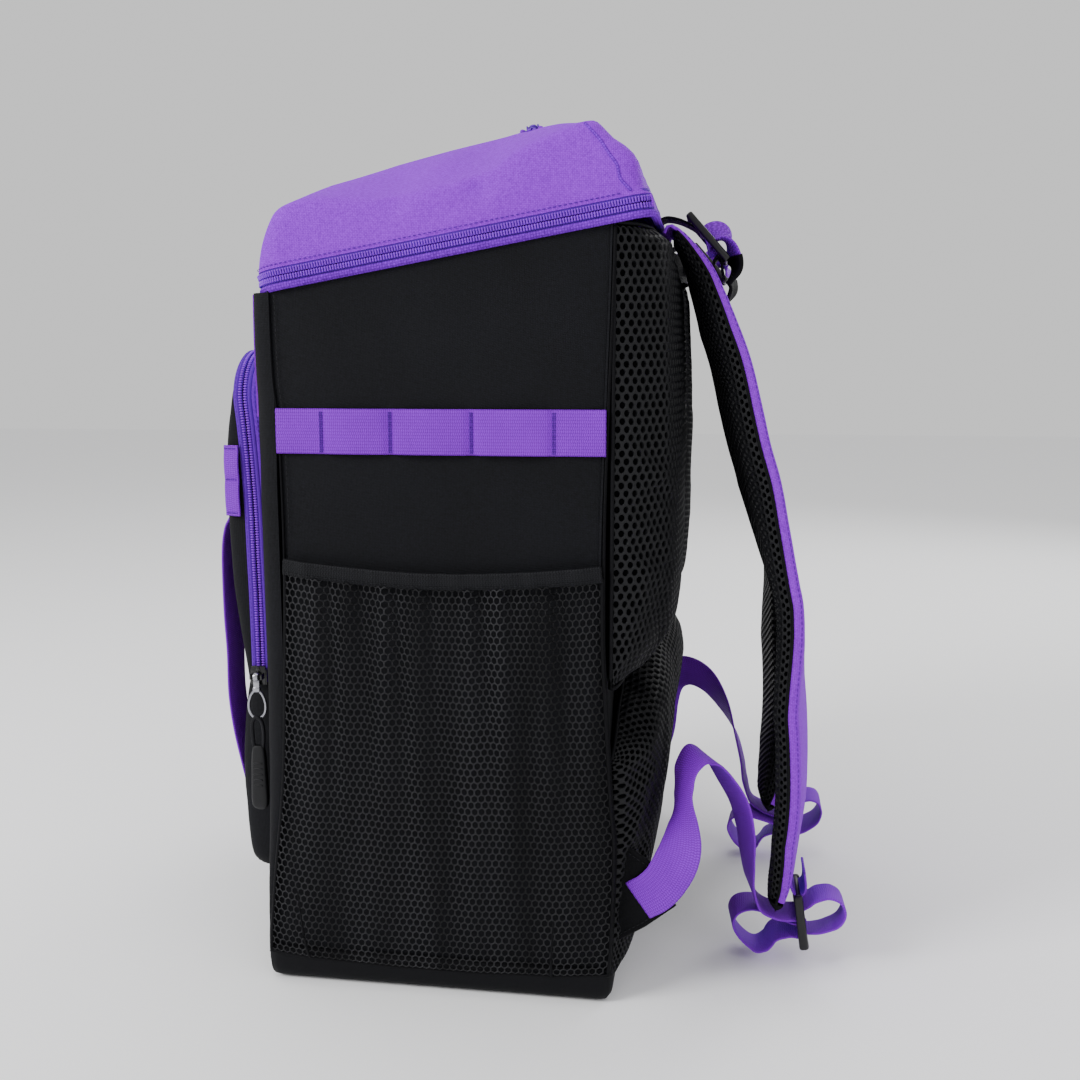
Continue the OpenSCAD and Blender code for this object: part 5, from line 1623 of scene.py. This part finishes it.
# ------------------------------------------------------------------ ladder locks and load-lifter buckles
def frame_bars(w, h, d, bars, side_w=4.0, r=1.3):
    """A flat moulded frame, w by h by d thick, with crossbars at the given heights (height, bar width, lift)."""
    p = [rbox((s * (w / 2 - side_w / 2), 0, 0), (side_w, d, h), r, 3) for s in (-1, 1)]
    for z, bw, y in bars:
        p.append(rbox((0, y, z), (w - side_w, d * 0.62, bw), min(r, bw * 0.45), 3))
    return join(*p)


lock = frame_bars(34, 34, 5.4, [(15, 4.0, 0), (5.2, 4.4, 0.8), (-5.0, 4.4, 0.8), (-15.2, 4.4, 1.4)], 4.2, 1.5)
lock = join(lock, rbox((0, 1.2, -18.2), (20, 4.0, 4.2), 1.6, 3))
lock = rot(lock, "X", 8)
V, F = lock[0] + np.array([80, 206, 30.4]), lock[1]
mk2("ladder_lock_body", V, F, "strap_", "black_plastic", mat_plastic, ("ladder_lock_",))
bk = frame_bars(33, 34, 4.2, [(14.8, 4.2, 0), (5.0, 3.8, 0.5), (-4.4, 3.8, 0.5), (-14.8, 4.4, 0.6)], 4.0, 1.3)
bk = (np.stack([bk[0][:, 0], bk[0][:, 2], -bk[0][:, 1] + 3.0], 1), bk[1])
bk = rot(bk, "X", -48.5)
V, F = bk[0] + np.array([80, 140.9, 427.3]), bk[1]
mk2("lifter_buckle_body", V, F, "strap_", "black_plastic", mat_plastic, ("lifter_buckle_",))

# webbing that holds the ladder lock to the strap's end
V, F, uv, _l = ribbon(np.array([(80, 199.5, 62), (80, 199.6, 53), (80, 201.2, 47.4), (80, 204.6, 45.6), (80, 207.6, 47.6), (80, 208.4, 52), (80, 207.4, 60)]), (1, 0, 0), 25, 1.5, n=60)
mk2("lock_web", V, F, "strap_", "purple_webbing", mat_web, (), uv, sharp=0)

# adjuster webbing from wing to ladder lock
ap = np.array([[143.6, 112, 60.5], [145.4, 121, 67], [145.2, 128.5, 76], [141, 134.5, 89], [133, 136, 104], [125, 136, 119], [118, 138, 131], [113, 143.5, 137], [108, 151, 133], [104, 160, 120], [100, 168, 104], [97, 172, 86], [94, 173.5, 68], [91, 175.5, 52], [88, 181, 39], [86, 190, 33.5], [83, 199, 31.5], [81, 206, 31]], float)
aw = np.array([[0, 0.66, -0.83], [0, 0.66, -0.83], [0.05, 0.6, -0.8], [0.5, 0.4, -0.75], [0.75, 0.3, -0.6], [0.85, 0.2, -0.5], [0.88, 0.2, -0.4], [0.92, 0.22, -0.2], [0.92, 0.32, 0.1], [0.88, 0.4, 0.25], [0.87, 0.4, 0.28], [0.88, 0.36, 0.24], [0.92, 0.28, 0.16], [0.96, 0.16, 0.08], [1, 0.05, 0], [1, 0, 0], [1, 0, 0], [1, 0, 0]], float)
V, F, uv, _l = ribbon(ap, aw, 25, 1.5, n=190)
mk("adjuster_web_right", V, F, ("bag", "strap_right", (146, 118, 64), (88, 176, 52)), "purple_webbing", mat_web, ("adjuster_webbing_right",), uv, sharp=0)
# the left one lies closer behind the pad and bends down later
al = np.array([[-143.6, 106, 60], [-144, 110, 75], [-141, 112, 95], [-136, 116, 112], [-129, 123, 122], [-121, 134, 126], [-113, 147, 121], [-106, 159, 106], [-100, 168.5, 86], [-95, 174, 67], [-91, 176.5, 52], [-88, 181, 39], [-86, 190, 33.5], [-83, 199, 31.5], [-81, 206, 31]], float)
bl = np.array([[0, 0.66, -0.83], [0.1, 0.7, -0.6], [-0.2, 0.6, -0.8], [-0.3, 0.3, -0.9], [-0.3, 0.1, -0.95], [-0.3, 0, -0.95], [-0.45, -0.1, -0.88], [-0.7, -0.1, -0.65], [-0.85, 0.1, -0.4], [-0.95, 0.1, -0.15], [-1, 0.1, 0], [-1, 0, 0], [-1, 0, 0], [-1, 0, 0], [-1, 0, 0]], float)
V, F, uv, _l = ribbon(al, bl, 25, 1.5, n=190)
mk("adjuster_web_left", V, F, ("bag", "strap_left", (-146, 118, 64), (-88, 176, 52)), "purple_webbing", mat_web, ("adjuster_webbing_left",), uv, sharp=0)

# free tails through the lock
tr = np.array([(80.4, 206.5, 36.5), (81.0, 211, 39.5), (82.0, 216, 43.3), (83.2, 223, 45.3), (84.4, 229.3, 42.8), (84.6, 231.4, 36), (83.5, 228, 28.5), (82, 220, 23.2), (81, 213, 21), (80.5, 206.5, 20.6)])
tl = np.array([(79.6, 205.8, 27), (78.6, 199, 27.6), (77.5, 188, 31), (76.6, 177, 33.2), (76.2, 168.2, 30), (76, 165.4, 22.5), (76.2, 170, 13.5), (76.8, 178.5, 7.0), (77.6, 185.5, 9.0), (78.4, 191.4, 16.2), (79.2, 199, 19.4), (80, 206.2, 19.8)])
wr = np.array([[1, 0, 0.02 * i] for i in range(10)])
wl_ = np.array([[1, 0.02 * i, 0.05 * math.sin(i)] for i in range(12)])
a1 = ribbon(tr, wr, 25, 1.5, n=110)
a2 = ribbon(tl, wl_, 25, 1.5, n=120)
V, F, uv = join(a1[:3], a2[:3])
mk2("adjuster_tail_web", V, F, "strap_", "purple_webbing", mat_web, ("adjuster_tail_",), uv, sharp=0)

# load lifter: black webbing from the yoke, buckle, and the purple tail folded into a black end
lp_ = np.array([(80, 113.6, 434), (80, 116.0, 438.6), (80, 120, 440.5), (80, 126, 439.6), (80, 131.0, 437.6), (80, 136, 434.8), (80, 140.6, 431.2)])
V, F, uv, _l = ribbon(lp_, (1, 0, 0), 24, 1.4, n=60)
mk2("lifter_web", V, F, ("bag", "strap_", (80, 116, 439), (80, 130, 437)), "black_webbing", mat_web_b, ("lifter_webbing_",), uv, sharp=0)
lt = catmull(np.array([(80, 142, 427), (82, 147, 430), (84, 152.5, 428), (85, 157, 421), (84, 158.5, 413), (82, 156, 406)], float), 61)
lw = catmull(np.array([(0.6, 0.3, -0.5), (0.6, 0.35, -0.6), (0.75, 0.38, -0.5), (0.9, 0.35, -0.25), (0.97, 0.2, 0), (1, 0, 0)], float), 61)
V, F, uv, _l = ribbon(lt[:40], lw[:40], 25, 1.7, n=60)
mk2("lifter_tail_web", V, F, "strap_", "purple_webbing", mat_web, ("lifter_tail_",), uv, sharp=0)
V, F, uv, _l = ribbon(lt[37:], lw[37:], 25.8, 2.9, n=50)
mk2("lifter_tail_end", V, F, "strap_", "black_webbing", mat_black2, (), uv, sharp=0)
# strap-side tab that carries the buckle
tb = np.array([(80, 148.6, 406.5), (80, 147.2, 411), (80, 146.4, 415.5), (80, 148.2, 418.6), (80, 150.6, 417.4), (80, 151.4, 412), (80, 152.6, 405.5)])
V, F, uv, _l = ribbon(tb, (1, 0, 0), 25, 1.4, n=60)
mk2("lifter_tab", V, F, "strap_", "black_webbing", mat_web_b, (), uv, sharp=0)

# ------------------------------------------------------------------ lining over the inner boards
uu, vv = np.meshgrid(np.linspace(-1, 1, 40), np.linspace(0, 1, 50), indexing="ij")
P = np.stack([uu * 138, 85.0 - 0.3 * smooth_noise(uu * 2, vv * 3, 95) * (1 - np.abs(uu) ** 8), 9 + 409 * vv], -1)
panel("lining_back_cloth", P, 0.5, "bag", "black_fabric", mat_black, out=(0, -1, 0))
P = np.stack([uu * 143, -94 + 177.5 * vv, 6.9 + 0.25 * smooth_noise(uu * 2, vv * 2, 96)], -1)
panel("lining_base_cloth", P, 0.5, "bag", "black_fabric", mat_black, out=(0, 0, 1))

# ------------------------------------------------------------------ stiffeners inside
for n in ("back_board", "base_board"):
    o = bpy.data.objects.get(n)
    if o is not None:
        o.data.materials.clear()
        o.data.materials.append(mat_board)
